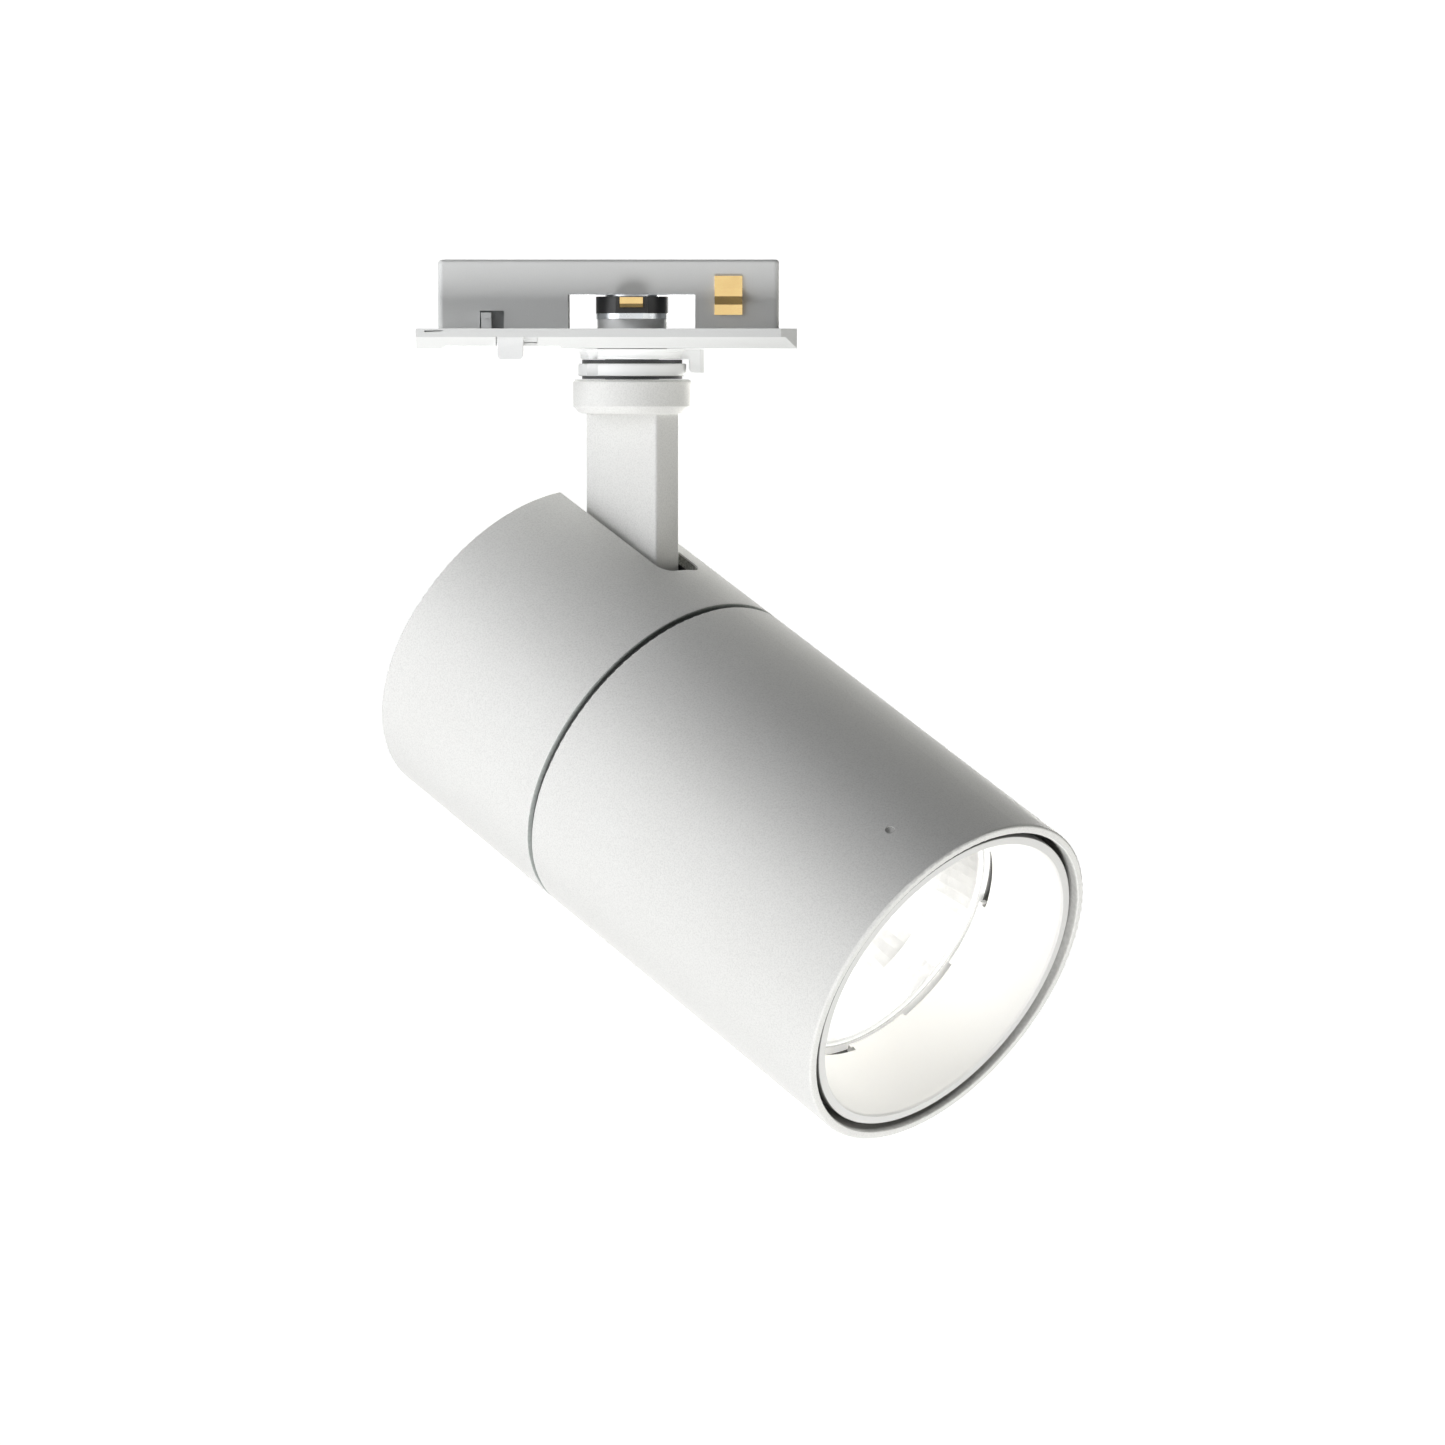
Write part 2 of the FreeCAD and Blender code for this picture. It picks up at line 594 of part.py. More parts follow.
fillet(b, 0.3, lambda e, m: abs(m.z + D["finger_low"]) < 0.02 and m.x > D["finger_in"] + 1.0)
# index notch on the disc's rim, and two dogs that drive the cam
s = sketch_on(b, "XY_Plane", -d.lever_top - 0.3)
polygon(s, [(-7.4, -7.0), (-7.4, -12.6), (-10.3, -12.6), (-10.3, -5.98)])
pocket(b, s, 3.5)
s = sketch_on(b, "XY_Plane", d.sleeve_top)
polygon(s, [(-1.2, 6.2), (1.2, 6.2), (1.2, 7.3), (-1.2, 7.3)])
pad(b, s, d.cam_thick)
s = sketch_on(b, "XY_Plane", d.sleeve_top)
polygon(s, [(-1.2, -7.3), (1.2, -7.3), (1.2, -6.2), (-1.2, -6.2)])
pad(b, s, d.cam_thick)
keep(b, "lock_lever")

b = new_body("lock_cam")
s = sketch_on(b, "XY_Plane", d.sleeve_top)
circle(s, 0, 0, 7.9)
pad(b, s, d.cam_thick)
s = sketch_on(b, "XY_Plane", d.sleeve_top)
polygon(s, [(-3.6, -d.cam_reach + 1.0), (-2.6, -d.cam_reach), (2.6, -d.cam_reach), (3.6, -d.cam_reach + 1.0),
            (3.6, d.cam_reach - 1.0), (2.6, d.cam_reach), (-2.6, d.cam_reach), (-3.6, d.cam_reach - 1.0)])
pad(b, s, d.cam_thick)
s = circle(sketch_on(b, "XY_Plane", d.sleeve_top + d.cam_thick), 0, 0, d.sleeve_bore + 0.1)
pocket(b, s, d.cam_thick + 1.0)
s = sketch_on(b, "XY_Plane", d.sleeve_top + d.cam_thick)
polygon(s, [(-1.2, 5.9), (1.2, 5.9), (1.2, 7.3), (-1.2, 7.3)])
pocket(b, s, d.cam_thick + 1.0)
s = sketch_on(b, "XY_Plane", d.sleeve_top + d.cam_thick)
polygon(s, [(-1.2, -7.3), (1.2, -7.3), (1.2, -5.9), (-1.2, -5.9)])
pocket(b, s, d.cam_thick + 1.0)
keep(b, "lock_cam")

# Contact carrier: insulating rotor with a slot in each wing for its contact.
b = new_body("contact_carrier")
base = d.sleeve_top + d.cam_thick
s = circle(sketch_on(b, "XY_Plane", base), 0, 0, 7.9)
pad(b, s, d.carrier_top - base)
s = sketch_on(b, "XY_Plane", base)
polygon(s, [(-3.4, -10.8), (3.4, -10.8), (3.4, 10.8), (-3.4, 10.8)])
pad(b, s, d.carrier_top - base)
s = circle(sketch_on(b, "XY_Plane", d.carrier_top), 0, 0, d.sleeve_bore + 0.1)
pocket(b, s, d.carrier_top)
s = sketch_on(b, "XZ_Plane")
polygon(s, [(-2.6, d.contact_level - 0.1), (2.6, d.contact_level - 0.1), (2.6, d.contact_level + 0.7), (-2.6, d.contact_level + 0.7)])
pocket(b, s, 30.0, mid=True)
keep(b, "contact_carrier")
for label, sy in (("line_contact", -1.0), ("neutral_contact", 1.0)):
    b = new_body(label)
    z0 = d.contact_level
    s = polygon(sketch_on(b, "YZ_Plane", -2.5), [
        (sy * 6.6, z0), (sy * (d.contact_reach - 0.6), z0), (sy * d.contact_reach, z0 + 0.8), (sy * (d.contact_reach - 0.2), z0 + 2.2),
        (sy * (d.contact_reach - 0.8), z0 + 2.2), (sy * (d.contact_reach - 0.7), z0 + 0.6), (sy * 6.6, z0 + 0.6)])
    pad(b, s, 5.0)
    keep(b, label)

# ==== Latch slide ==============================================================================
b = new_body("latch_slider")
s = sketch_on(b, "XY_Plane", -1.35)
polygon(s, [(-33.0, -13.75), (-20.3, -13.75), (-20.3, -9.2), (-30.4, -9.2), (-30.4, -6.9), (-32.6, -6.9), (-32.6, -9.2), (-33.0, -9.2)])
pad(b, s, 1.6, back=True)
s = sketch_on(b, "XY_Plane", -1.35)
polygon(s, [(-d.tab_left, -15.7), (-d.tab_right, -15.7), (-d.tab_right, -13.3), (-d.tab_left, -13.3)])
pad(b, s, d.tab_low - 1.35, back=True)
fillet(b, 1.0, lambda e, m: abs(m.z + D["tab_low"]) < 0.02 and abs(m.y + 14.5) < 0.05)
fillet(b, 0.25, lambda e, m: abs(m.y + 15.7) < 0.02 and m.z < -1.6)
s = sketch_on(b, "XY_Plane", -1.4)
polygon(s, [(-32.6, -8.3), (-30.4, -8.3), (-30.4, -6.9), (-32.6, -6.9)])
pad(b, s, 4.9)
s = sketch_on(b, "XY_Plane", 2.3)
polygon(s, [(-32.6, -9.8), (-30.4, -9.8), (-30.4, -8.0), (-32.6, -8.0)])
pad(b, s, 1.2)
keep(b, "latch_slider")
b = new_body("latch_spring")
s = polygon(sketch_on(b, "XY_Plane", -1.5), LEAF)
pad(b, s, 1.3, back=True)
keep(b, "latch_spring")

# ==== Stem =====================================================================================
# One casting: a collar with a cup for the pan joint, and a flat blade with a round lower end.
pz = d.head_drop - (d.pivot_up * math.cos(math.radians(D["head_tilt"])) + d.pivot_x * math.sin(math.radians(D["head_tilt"])))
b = new_body("stem_arm")
s = polygon(sketch_on(b, "XZ_Plane"), [
    (0, -d.collar_foot), (11.6, -d.collar_foot), (d.collar_rad, -d.collar_foot + 1.55), (d.collar_rad, -d.collar_top - 0.5),
    (d.collar_rad - 0.5, -d.collar_top), (d.cup_rad, -d.collar_top), (d.cup_rad, -d.collar_floor), (0, -d.collar_floor)])
revolve(b, s, "Z")
doc.recompute()
fillet(b, 0.3, lambda e, m: e.Curve.TypeId == "Part::GeomCircle" and (abs(e.Curve.Radius - 11.6) < 0.02 or (abs(e.Curve.Radius - D["collar_rad"]) < 0.02 and m.z < -14)))
fillet(b, 0.25, lambda e, m: e.Curve.TypeId == "Part::GeomCircle" and abs(e.Curve.Radius - D["collar_rad"]) < 0.02 and m.z > -12)
hw = d.blade_wide / 2
s = sketch_on(b, "XZ_Plane")
ht = d.blade_thick / 2
polygon(s, [(-hw, -d.collar_foot + 0.4), (-hw, -pz), (hw, -pz), (hw, -d.collar_foot + 0.4)])
pad(b, s, d.blade_thick, mid=True)
s = circle(sketch_on(b, "XZ_Plane"), 0, -pz, hw)
pad(b, s, d.blade_thick, mid=True)
doc.recompute()
fillet(b, d.blade_round, lambda e, m: m.z < -19 and e.Curve.TypeId in ("Part::GeomLine", "Part::GeomCircle") and abs(abs(m.y) - v(ht)) < 0.02 and abs(m.x) > -1
       and (e.Curve.TypeId == "Part::GeomCircle" or abs(abs(m.x) - v(hw)) < 0.02) and e.Length > 5)
fillet(b, 0.25, lambda e, m: abs(m.z + D["collar_foot"]) < 0.03 and abs(m.x) < 10.6 and abs(m.y) < 3.8)
# pivot bore, wire way down the middle, and its slanted exit at the lower rear
s = circle(sketch_on(b, "XZ_Plane"), 0, -pz, 3.05)
pocket(b, s, 20.0, mid=True)
s = circle(sketch_on(b, "XY_Plane", -d.collar_floor + 0.5), 0, 0, d.wire_bore)
pocket(b, s, pz - d.collar_floor - 9.5)
# stop lug inside the cup, on the side away from the spindle's key
s = sketch_on(b, "XY_Plane", -d.collar_floor)
polygon(s, [(-0.4, -10.4), (0.4, -10.4), (0.4, -9.1), (-0.4, -9.1)])
pad(b, s, 3.0)
doc.recompute()
core = keep(b, "stem_casting")
NODES.remove(core)
bore = cyl(d.wire_bore, 18.0, (0, 0, 0))
bore.Placement = FreeCAD.Placement(FreeCAD.Vector(0, 0, -v(pz) + 10.0), FreeCAD.Rotation(FreeCAD.Vector(0, 1, 0), 180.0 + 40.0))
bore_end = doc.addObject("Part::Sphere", nm("Sphere"))
bore_end.Radius = D["wire_bore"]
bind(bore_end, "Radius", d.wire_bore)
bore_end.Placement = FreeCAD.Placement(FreeCAD.Vector(0, 0, -v(pz) + 10.0), FreeCAD.Rotation())
keep(cut(core, fuse(bore, bore_end)), "stem_arm", STEM)

b = new_body("spindle_retainer")
s = polygon(sketch_on(b, "XZ_Plane"), [(d.spindle_rad + 0.08, -12.7), (d.cup_rad, -12.7), (d.cup_rad, -11.4), (d.spindle_rad + 0.08, -11.4)])
revolve(b, s, "Z")
s = sketch_on(b, "XY_Plane", -11.4)
for x in (-8.3, 8.3):
    circle(s, x, 0, 0.7)
pocket(b, s, 3.0)
keep(b, "spindle_retainer", STEM)
keep(washer(8.6, d.spindle_rad + 0.08, 0.6, (0, 0, -13.35)), "pan_friction_washer", STEM)
# wave washer under the spindle's flange, a ring pressed into three shallow waves
b = new_body("pan_wave_washer")
s = polygon(sketch_on(b, "XZ_Plane"), [(5.4, -15.75), (8.5, -15.55), (8.5, -15.1), (5.4, -15.3)])
revolve(b, s, "Z")
keep(b, "pan_wave_washer", STEM)

# ==== Head =====================================================================================
# Rear housing: a cup with its flat end to the rear, slotted on top for the stem.
b = new_body("rear_housing")
R, W = d.head_rad, d.rear_wall
s = polygon(sketch_on(b, "XZ_Plane"), [
    (-d.rear_end, 0), (-d.rear_end, R), (d.rear_front, R), (d.rear_front, R - W), (-d.rear_end + 2.6, R - W), (-d.rear_end + 2.6, 0)])
revolve(b, s, "X")
doc.recompute()
fillet(b, d.end_round, ring_at(R, -d.rear_end))
fillet(b, 0.3, ring_at(R, d.rear_front))
fillet(b, 1.2, ring_at(R - W, -d.rear_end + 2.6))
s = sketch_on(b, "XY_Plane", 60.0)
polygon(s, [(-60.0, -d.slot_half), (-d.slot_front, -d.slot_half), (-d.slot_front, d.slot_half), (-60.0, d.slot_half)])
pocket(b, s, 60.0 - d.slot_low)
fillet(b, d.slot_round, lambda e, m: abs(m.x + D["slot_front"]) < 0.05 and abs(abs(m.y) - D["slot_half"]) < 0.05 and e.Length < 4 and m.z > 30)
shell = keep(b, "rear_shell"); NODES.remove(shell)


def radial(obj, angle):
    """Turn a piece built on +Z about the head's axis; angle runs from +Z towards -Y."""
    o = group(obj)
    o.Placement = FreeCAD.Placement(FreeCAD.Vector(0, 0, 0), FreeCAD.Rotation(FreeCAD.Vector(1, 0, 0), angle))
    return o


SIDES = (200.0, 290.0)
keep(cut(shell, fuse(*[radial(cyl(1.55, 5.0, (7.5, 0, R - 4.0)), a) for a in SIDES])), "rear_housing", HEAD)

# Middle frame: the dark joint ring that both housings slide onto, with a web that carries the works.
b = new_body("mid_frame")
ri = R - W - 0.1
s = polygon(sketch_on(b, "XZ_Plane"), [
    (2.6, ri - 2.2), (2.6, ri), (d.rear_front, ri), (d.rear_front, R - 1.3), (d.barrel_rear, R - 1.3), (d.barrel_rear, R - d.front_wall - 0.1),
    (22.0, R - d.front_wall - 0.1), (22.0, ri - 2.2), (9.0, ri - 2.2), (9.0, 0), (6.0, 0), (6.0, ri - 2.2)])
revolve(b, s, "X")
s = circle(sketch_on(b, "YZ_Plane", 10.0), 0, 0, 5.5)
pocket(b, s, 6.0)
s = sketch_on(b, "YZ_Plane", 10.0)
for y in (-8.0, 8.0):
    circle(s, y, 0, 1.6)
pocket(b, s, 6.0)
s = sketch_on(b, "YZ_Plane", 10.0)
for y in (-11.2, 11.2):
    circle(s, y, 24.5, 2.05)
pocket(b, s, 6.0)
s = sketch_on(b, "YZ_Plane", 10.0)
circle(s, 12.5, -13.9, 2.2)
pocket(b, s, 6.0)
core = keep(b, "frame_ring"); NODES.remove(core)
keep(cut(core, fuse(*([radial(cyl(1.5, 5.0, (7.5, 0, R - 6.0)), a) for a in SIDES] + [radial(cyl(1.5, 5.0, (17.0, 0, R - 6.0)), a) for a in SIDES]))), "mid_frame", HEAD)

# Front barrel: a plain tube with softly broken edges.
b = new_body("front_barrel")
s = polygon(sketch_on(b, "XZ_Plane"), [
    (d.barrel_rear, R - d.front_wall), (d.barrel_rear, R), (d.barrel_front, R), (d.barrel_front, R - d.front_wall)])
revolve(b, s, "X")
doc.recompute()
fillet(b, 0.3, ring_at(R, d.barrel_rear))
fillet(b, 0.55, ring_at(R, d.barrel_front))
fillet(b, 0.3, ring_at(R - d.front_wall, d.barrel_front))
tube = keep(b, "front_tube"); NODES.remove(tube)
# holes for the baffle's three grub screws, which stop just under the skin and take the barrel's coat: one on the
# upper side and two more round the rim
HOLES = (36.6, 156.6, 276.6)


keep(cut(tube, fuse(*[radial(cyl(1.0, 4.0, (88.8, 0, R - 3.0)), a) for a in HOLES],
                    *[radial(cyl(1.55, 4.0, (17.0, 0, R - 3.0)), a) for a in SIDES])), "front_barrel", HEAD)
keep(group(*[radial(cut(cyl(0.97, 3.02, (88.8, 0, R - 3.2)), cone(0.05, 0.8, 0.26, (88.8, 0, R - 0.44))), a) for a in HOLES]), "baffle_set_screws", HEAD)
keep(group(*[radial(cut(cyl(1.5, 3.6, (17.0, 0, R - 4.2)), prism(6, 0.8, 2.0, (17.0, 0, R - 1.8))), a) for a in SIDES]), "barrel_screws", HEAD)

# Pivot bracket: a steel fork bolted to the web of the middle frame.
b = new_body("pivot_bracket")
px, pu = -d.pivot_x, d.pivot_up
s = sketch_on(b, "XZ_Plane")
polygon(s, [(px, pu - 7.6), (6.0, 19.0), (6.0, 30.0), (1.0, 33.0), (px, pu + 7.6)])
pad(b, s, 12.6, mid=True)
s = circle(sketch_on(b, "XZ_Plane"), px, pu, 7.6)
pad(b, s, 12.6, mid=True)
s = sketch_on(b, "XZ_Plane")
polygon(s, [(4.0, 19.0), (6.0, 19.0), (6.0, 29.5), (4.0, 29.5)])
pad(b, s, 30.0, mid=True)
s = sketch_on(b, "XY_Plane", 60.0)
polygon(s, [(-60.0, -4.5), (-3.9, -4.5), (4.0, -4.5), (4.0, 4.5), (-60.0, 4.5)])
pocket(b, s, 60.0)
s = circle(sketch_on(b, "XZ_Plane"), px, pu, 2.6)
pocket(b, s, 30.0, mid=True)
s = sketch_on(b, "YZ_Plane", 10.0)
for y in (-11.2, 11.2):
    circle(s, y, 24.5, 2.05)
pocket(b, s, 10.0)
fillet(b, 2.4, lambda e, m: abs(abs(m.y) - 15.0) < 0.05 and e.Length < 3)
keep(b, "pivot_bracket", HEAD)
keep(group(*[cut(fuse(cyl(3.4, 2.2, (1.8, y, 24.5), "X"), cyl(2.0, 5.2, (3.9, y, 24.5), "X")), prism(6, 1.6, 1.4, (1.7, y, 24.5), "X")) for y in (-11.2, 11.2)]),
     "bracket_screws", HEAD)

# Tilt joint: bolt, nut, friction washers and a cone spring washer.
bolt = fuse(cyl(4.3, 2.4, (px, 6.9, pu), "Y"), cyl(2.98, 7.4, (px, -3.7, pu), "Y"), cyl(2.55, 17.0, (px, -10.0, pu), "Y"))
keep(cut(bolt, prism(6, 1.7, 2.0, (px, 7.9, pu), "Y")), "pivot_bolt", HEAD)
keep(cut(prism(6, 4.4, 3.0, (px, -9.9, pu), "Y"), cyl(2.55, 5.0, (px, -10.9, pu), "Y")), "pivot_nut", HEAD)
keep(group(washer(7.2, 3.08, 0.7, (px, 3.75, pu), "Y"), washer(7.2, 3.08, 0.7, (px, -4.45, pu), "Y")), "tilt_washers", HEAD)
ring = cut(cone(4.2, 3.2, 0.6, (px, -6.9, pu), "Y"), cyl(2.6, 3.0, (px, -8.0, pu), "Y"))
keep(ring, "tilt_spring_washer", HEAD)
keep(washer(4.6, 2.6, 0.6, (px, 6.3, pu), "Y"), "bolt_washer", HEAD)

# Screws that hold the rear housing to the middle frame, low on both sides.
keep(group(*[radial(cut(cyl(1.5, 4.0, (7.5, 0, R - 4.6)), prism(6, 0.8, 2.0, (7.5, 0, R - 1.8))), a) for a in SIDES]), "housing_screws", HEAD)

# Heat sink: seat disc and core with radial fins that run back to the middle frame.
b = new_body("heat_sink")
s = polygon(sketch_on(b, "XZ_Plane"), [(9.0, 3.2), (9.0, d.sink_core), (d.sink_front - 4.0, d.sink_core), (d.sink_front - 4.0, d.sink_rad),
                                      (d.sink_front, d.sink_rad), (d.sink_front, 3.2)])
revolve(b, s, "X")
s = sketch_on(b, "XZ_Plane")
polygon(s, [(9.0, d.sink_core - 1.0), (9.0, 23.0), (22.5, 23.0), (24.5, d.sink_rad), (d.sink_front - 3.0, d.sink_rad), (d.sink_front - 3.0, d.sink_core - 1.0)])
f = pad(b, s, d.fin_thick, mid=True)
doc.recompute()
vol = b.Shape.Volume
pp = b.newObject("PartDesign::PolarPattern", nm("Fins"))
pp.Originals = [f]
pp.Axis = (origin(b, "X_Axis"), [""])
pp.Angle = 360.0
pp.Occurrences = int(D["fin_count"])
bind(pp, "Occurrences", d.fin_count)
b.Tip = pp
doc.recompute()
if not b.Shape.Volume > vol * 1.2:
    fail("fins were not added")
for y in (-8.0, 8.0):
    s = circle(sketch_on(b, "YZ_Plane", 9.0), y, 0, 1.5)
    pocket(b, s, 6.0, back=True)
s = sketch_on(b, "YZ_Plane", d.sink_front)
for sy in (-1, 1):
    circle(s, sy * 13.6, sy * 5.0, 1.4)
pocket(b, s, 3.5)
s = circle(sketch_on(b, "YZ_Plane", d.sink_front), 12.5, -13.9, 1.5)
pocket(b, s, 6.0)
keep(b, "heat_sink", HEAD)
keep(group(*[cut(fuse(cyl(3.0, 2.4, (3.6, y, 0), "X"), cyl(1.5, 8.0, (5.9, y, 0), "X")), prism(6, 1.2, 1.4, (3.5, y, 0), "X")) for y in (-8.0, 8.0)]),
     "heat_sink_screws", HEAD)

# Light source: chip board, its emitting area, and the holder that clamps it.
h2 = d.board_side / 2
x0 = d.sink_front
keep(group(box((x0, -h2, -h2), (x0 + d.board_thick, h2, h2))), "cob_board", HEAD)
keep(group(cyl(d.emitter_rad, 0.5, (x0 + d.board_thick, 0, 0), "X")), "cob_emitter", HEAD)
b = new_body("cob_holder")
s = circle(sketch_on(b, "YZ_Plane", x0), 0, 0, 17.5)
pad(b, s, 3.4)
s = circle(sketch_on(b, "YZ_Plane", x0 + 1.1), 12.5, -13.9, 2.6)
pad(b, s, 2.3)
s = circle(sketch_on(b, "YZ_Plane", x0 + 3.4), 0, 0, 7.4)
pocket(b, s, 3.4)
s = sketch_on(b, "YZ_Plane", x0 + d.board_thick + 0.05)
polygon(s, [(-h2 - 0.1, -h2 - 0.1), (h2 + 0.1, -h2 - 0.1), (h2 + 0.1, h2 + 0.1), (-h2 - 0.1, h2 + 0.1)])
pocket(b, s, 2.0)
s = sketch_on(b, "YZ_Plane", x0 + 3.4)
for sy in (-1, 1):
    circle(s, sy * 13.6, sy * 5.0, 1.7)
pocket(b, s, 4.0)
keep(b, "cob_holder", HEAD)
keep(group(*[cut(fuse(cyl(2.6, 1.6, (x0 + 3.4, sy * 13.6, sy * 5.0), "X"), cyl(1.4, 6.8, (x0 - 3.3, sy * 13.6, sy * 5.0), "X")),
                 prism(6, 1.1, 1.4, (x0 + 4.2, sy * 13.6, sy * 5.0), "X")) for sy in (-1, 1)]), "holder_screws", HEAD)

# Reflector: a spun aluminium bowl in flat facets, open at the rear over the emitter.
b = new_body("reflector")
FACETS = 24
PROFILE = [(48.6, 8.2), (52.0, 14.2), (57.0, 19.4), (64.0, 24.0), (72.0, 27.3), (80.4, 29.2)]
sections = []
for x, r in PROFILE:
    s = sketch_on(b, "YZ_Plane", x)
    polygon(s, [(r * math.cos(2 * math.pi * k / FACETS), r * math.sin(2 * math.pi * k / FACETS)) for k in range(FACETS)])
    sections.append(s)
f = b.newObject("PartDesign::AdditiveLoft", nm("Loft"))
f.Profile = sections[0]
f.Sections = sections[1:]
f.Ruled = True
doc.recompute()
inner = []
for x, r in PROFILE:
    s = sketch_on(b, "YZ_Plane", x)
    r = r - 0.6
    polygon(s, [(r * math.cos(2 * math.pi * k / FACETS), r * math.sin(2 * math.pi * k / FACETS)) for k in range(FACETS)])
    inner.append(s)
vol = b.Shape.Volume
f = b.newObject("PartDesign::SubtractiveLoft", nm("Hollow"))
f.Profile = inner[0]
f.Sections = inner[1:]
f.Ruled = True
doc.recompute()
if not b.Shape.Volume < 0.3 * vol:
    fail("reflector is not hollow")
keep(b, "reflector", HEAD)

# Reflector ring: holds the reflector's rim, with three lugs that show between the baffle's windows.
b = new_body("reflector_ring")
s = polygon(sketch_on(b, "XZ_Plane"), [(78.6, 29.3), (78.6, 36.9), (81.0, 36.9), (81.0, 29.3)])
revolve(b, s, "X")
doc.recompute()
keep(b, "reflector_ring", HEAD)
keep(group(*[radial(cyl(1.8, 33.6, (d.sink_front, 0, 32.0), "X"), a) for a in (20.0, 140.0, 260.0)]), "ring_posts", HEAD)

# Baffle: white cone inside a sleeve, with three hooked bayonet windows at its throat.
b = new_body("baffle_cone")
cm, ct, cf, cr, so = d.cone_mouth, d.cone_throat, d.cone_front, d.cone_rear, d.sleeve_out
s = polygon(sketch_on(b, "XZ_Plane"), [
    (cr, ct), (cf - 0.5, cm - 0.3), (cf, cm), (cf, so), (87.0, so), (87.0, so - 1.3), (96.5, so - 1.3), (cr, ct + 1.5)])
revolve(b, s, "X")
doc.recompute()
fillet(b, 0.3, ring_at(so, cf))


def wedge(s, mid_deg, wide_deg, r_in, r_out, steps=6):
    """Ring sector; angles run from +Z towards -Y."""
    pts = []
    for r, order in ((r_in, range(steps + 1)), (r_out, range(steps, -1, -1))):
        for k in order:
            a = math.radians(mid_deg - wide_deg / 2 + wide_deg * k / steps)
            pts.append((-r * math.sin(a), r * math.cos(a)))
    return polygon(s, pts)


for mid in (-64.75, 55.25, 175.25):
    s = wedge(sketch_on(b, "YZ_Plane", cr + 1.7), mid, 29.0, 28.0, 31.4)
    pocket(b, s, 3.0)
    for side in (-1, 1):
        s = wedge(sketch_on(b, "YZ_Plane", cr + 1.7), mid + side * 15.0, 1.8, 28.0, 31.4, 1)
        pocket(b, s, 0.9)
for mid in (-124.75, -4.75, 115.25):
    s = wedge(sketch_on(b, "YZ_Plane", cr + 0.8), mid, 29.5, 28.0, 31.4)
    pocket(b, s, 3.0)
keep(b, "baffle_cone", HEAD)

# Driver: a two-part plastic case with its board and main components.
X0, X1, HY, Z0, Z1, T = -d.driver_back, d.driver_fore, d.driver_half, -d.driver_low, d.driver_high, d.driver_wall
b = new_body("driver_tray")
s = polygon(sketch_on(b, "XY_Plane", Z0), [(X0, -HY), (X1, -HY), (X1, HY), (X0, HY)])
pad(b, s, Z1 - Z0 - T)
fillet(b, 2.0, lambda e, m: abs(e.Vertexes[0].Point.z - e.Vertexes[-1].Point.z) > 5)
s = polygon(sketch_on(b, "XY_Plane", Z1 - T), [(X0 + T, -HY + T), (X1 - T, -HY + T), (X1 - T, HY - T), (X0 + T, HY - T)])
pocket(b, s, Z1 - Z0 - T - T)
s = polygon(sketch_on(b, "YZ_Plane", X1), [(-16.0, -8.0), (-9.0, -8.0), (-9.0, 0.5), (-16.0, 0.5)])
pocket(b, s, T + 0.5)
s = polygon(sketch_on(b, "YZ_Plane", X1), [(10.0, -16.5), (15.0, -16.5), (15.0, -11.5), (10.0, -11.5)])
pocket(b, s, T + 0.5)
keep(b, "driver_tray", HEAD)
b = new_body("driver_lid")
s = polygon(sketch_on(b, "XY_Plane", Z1 - T), [(X0, -HY), (X1, -HY), (X1, HY), (X0, HY)])
pad(b, s, T)
fillet(b, 2.0, lambda e, m: abs(e.Vertexes[0].Point.z - e.Vertexes[-1].Point.z) > 1)
s = polygon(sketch_on(b, "XY_Plane", Z1 - T), [(X0 + T + 0.1, -HY + T + 0.1), (X1 - T - 0.1, -HY + T + 0.1), (X1 - T - 0.1, HY - T - 0.1), (X0 + T + 0.1, HY - T - 0.1)])
pad(b, s, 1.0, back=True)
s = sketch_on(b, "XY_Plane", Z1)
for x in (-31.0, -1.0):
    circle(s, x, 0, 1.2)
pocket(b, s, 4.0)
keep(b, "driver_lid", HEAD)
keep(group(*[screw(2.1, 1.2, 1.2, 4.0, (x, 0, Z1), drive=1.0) for x in (-31.0, -1.0)]), "driver_screws", HEAD)
b = new_body("driver_board")
s = polygon(sketch_on(b, "XY_Plane", Z0 + 4.0), [(X0 + 2.0, -HY + 2.0), (X1 - 2.0, -HY + 2.0), (X1 - 2.0, HY - 2.0), (X0 + 2.0, HY - 2.0)])
pad(b, s, 1.6)
keep(b, "driver_board", HEAD)
bz = Z0 + 5.6
keep(fuse(box((-24.0, -7.0, bz), (-9.0, 9.0, bz + 11.0)), box((-21.5, -9.0, bz + 2.5), (-11.5, 9.3, bz + 8.5))), "driver_transformer", HEAD)
keep(group(cyl(5.0, 14.0, (-26.0, 14.5, bz + 5.0), "X"), cyl(4.0, 12.0, (-26.0, -14.5, bz + 4.0), "X")), "driver_capacitors", HEAD)
keep(group(box((-6.0, -6.0, bz), (-4.0, 6.0, bz + 10.0)), box((-31.0, -6.0, bz), (-27.0, 6.0, bz + 6.0)), box((-9.5, -18.5, bz), (-3.5, -12.5, bz + 2.5))), "driver_chips", HEAD)
b = new_body("driver_sockets")
s = polygon(sketch_on(b, "YZ_Plane", -8.0), [(9.4, bz), (15.6, bz), (15.6, bz + 9.0), (9.4, bz + 9.0)])
pad(b, s, 7.0)
s = circle(sketch_on(b, "YZ_Plane", -1.0), 12.5, bz + 5.5, 1.7)
pocket(b, s, 5.0)
keep(b, "driver_sockets", HEAD)


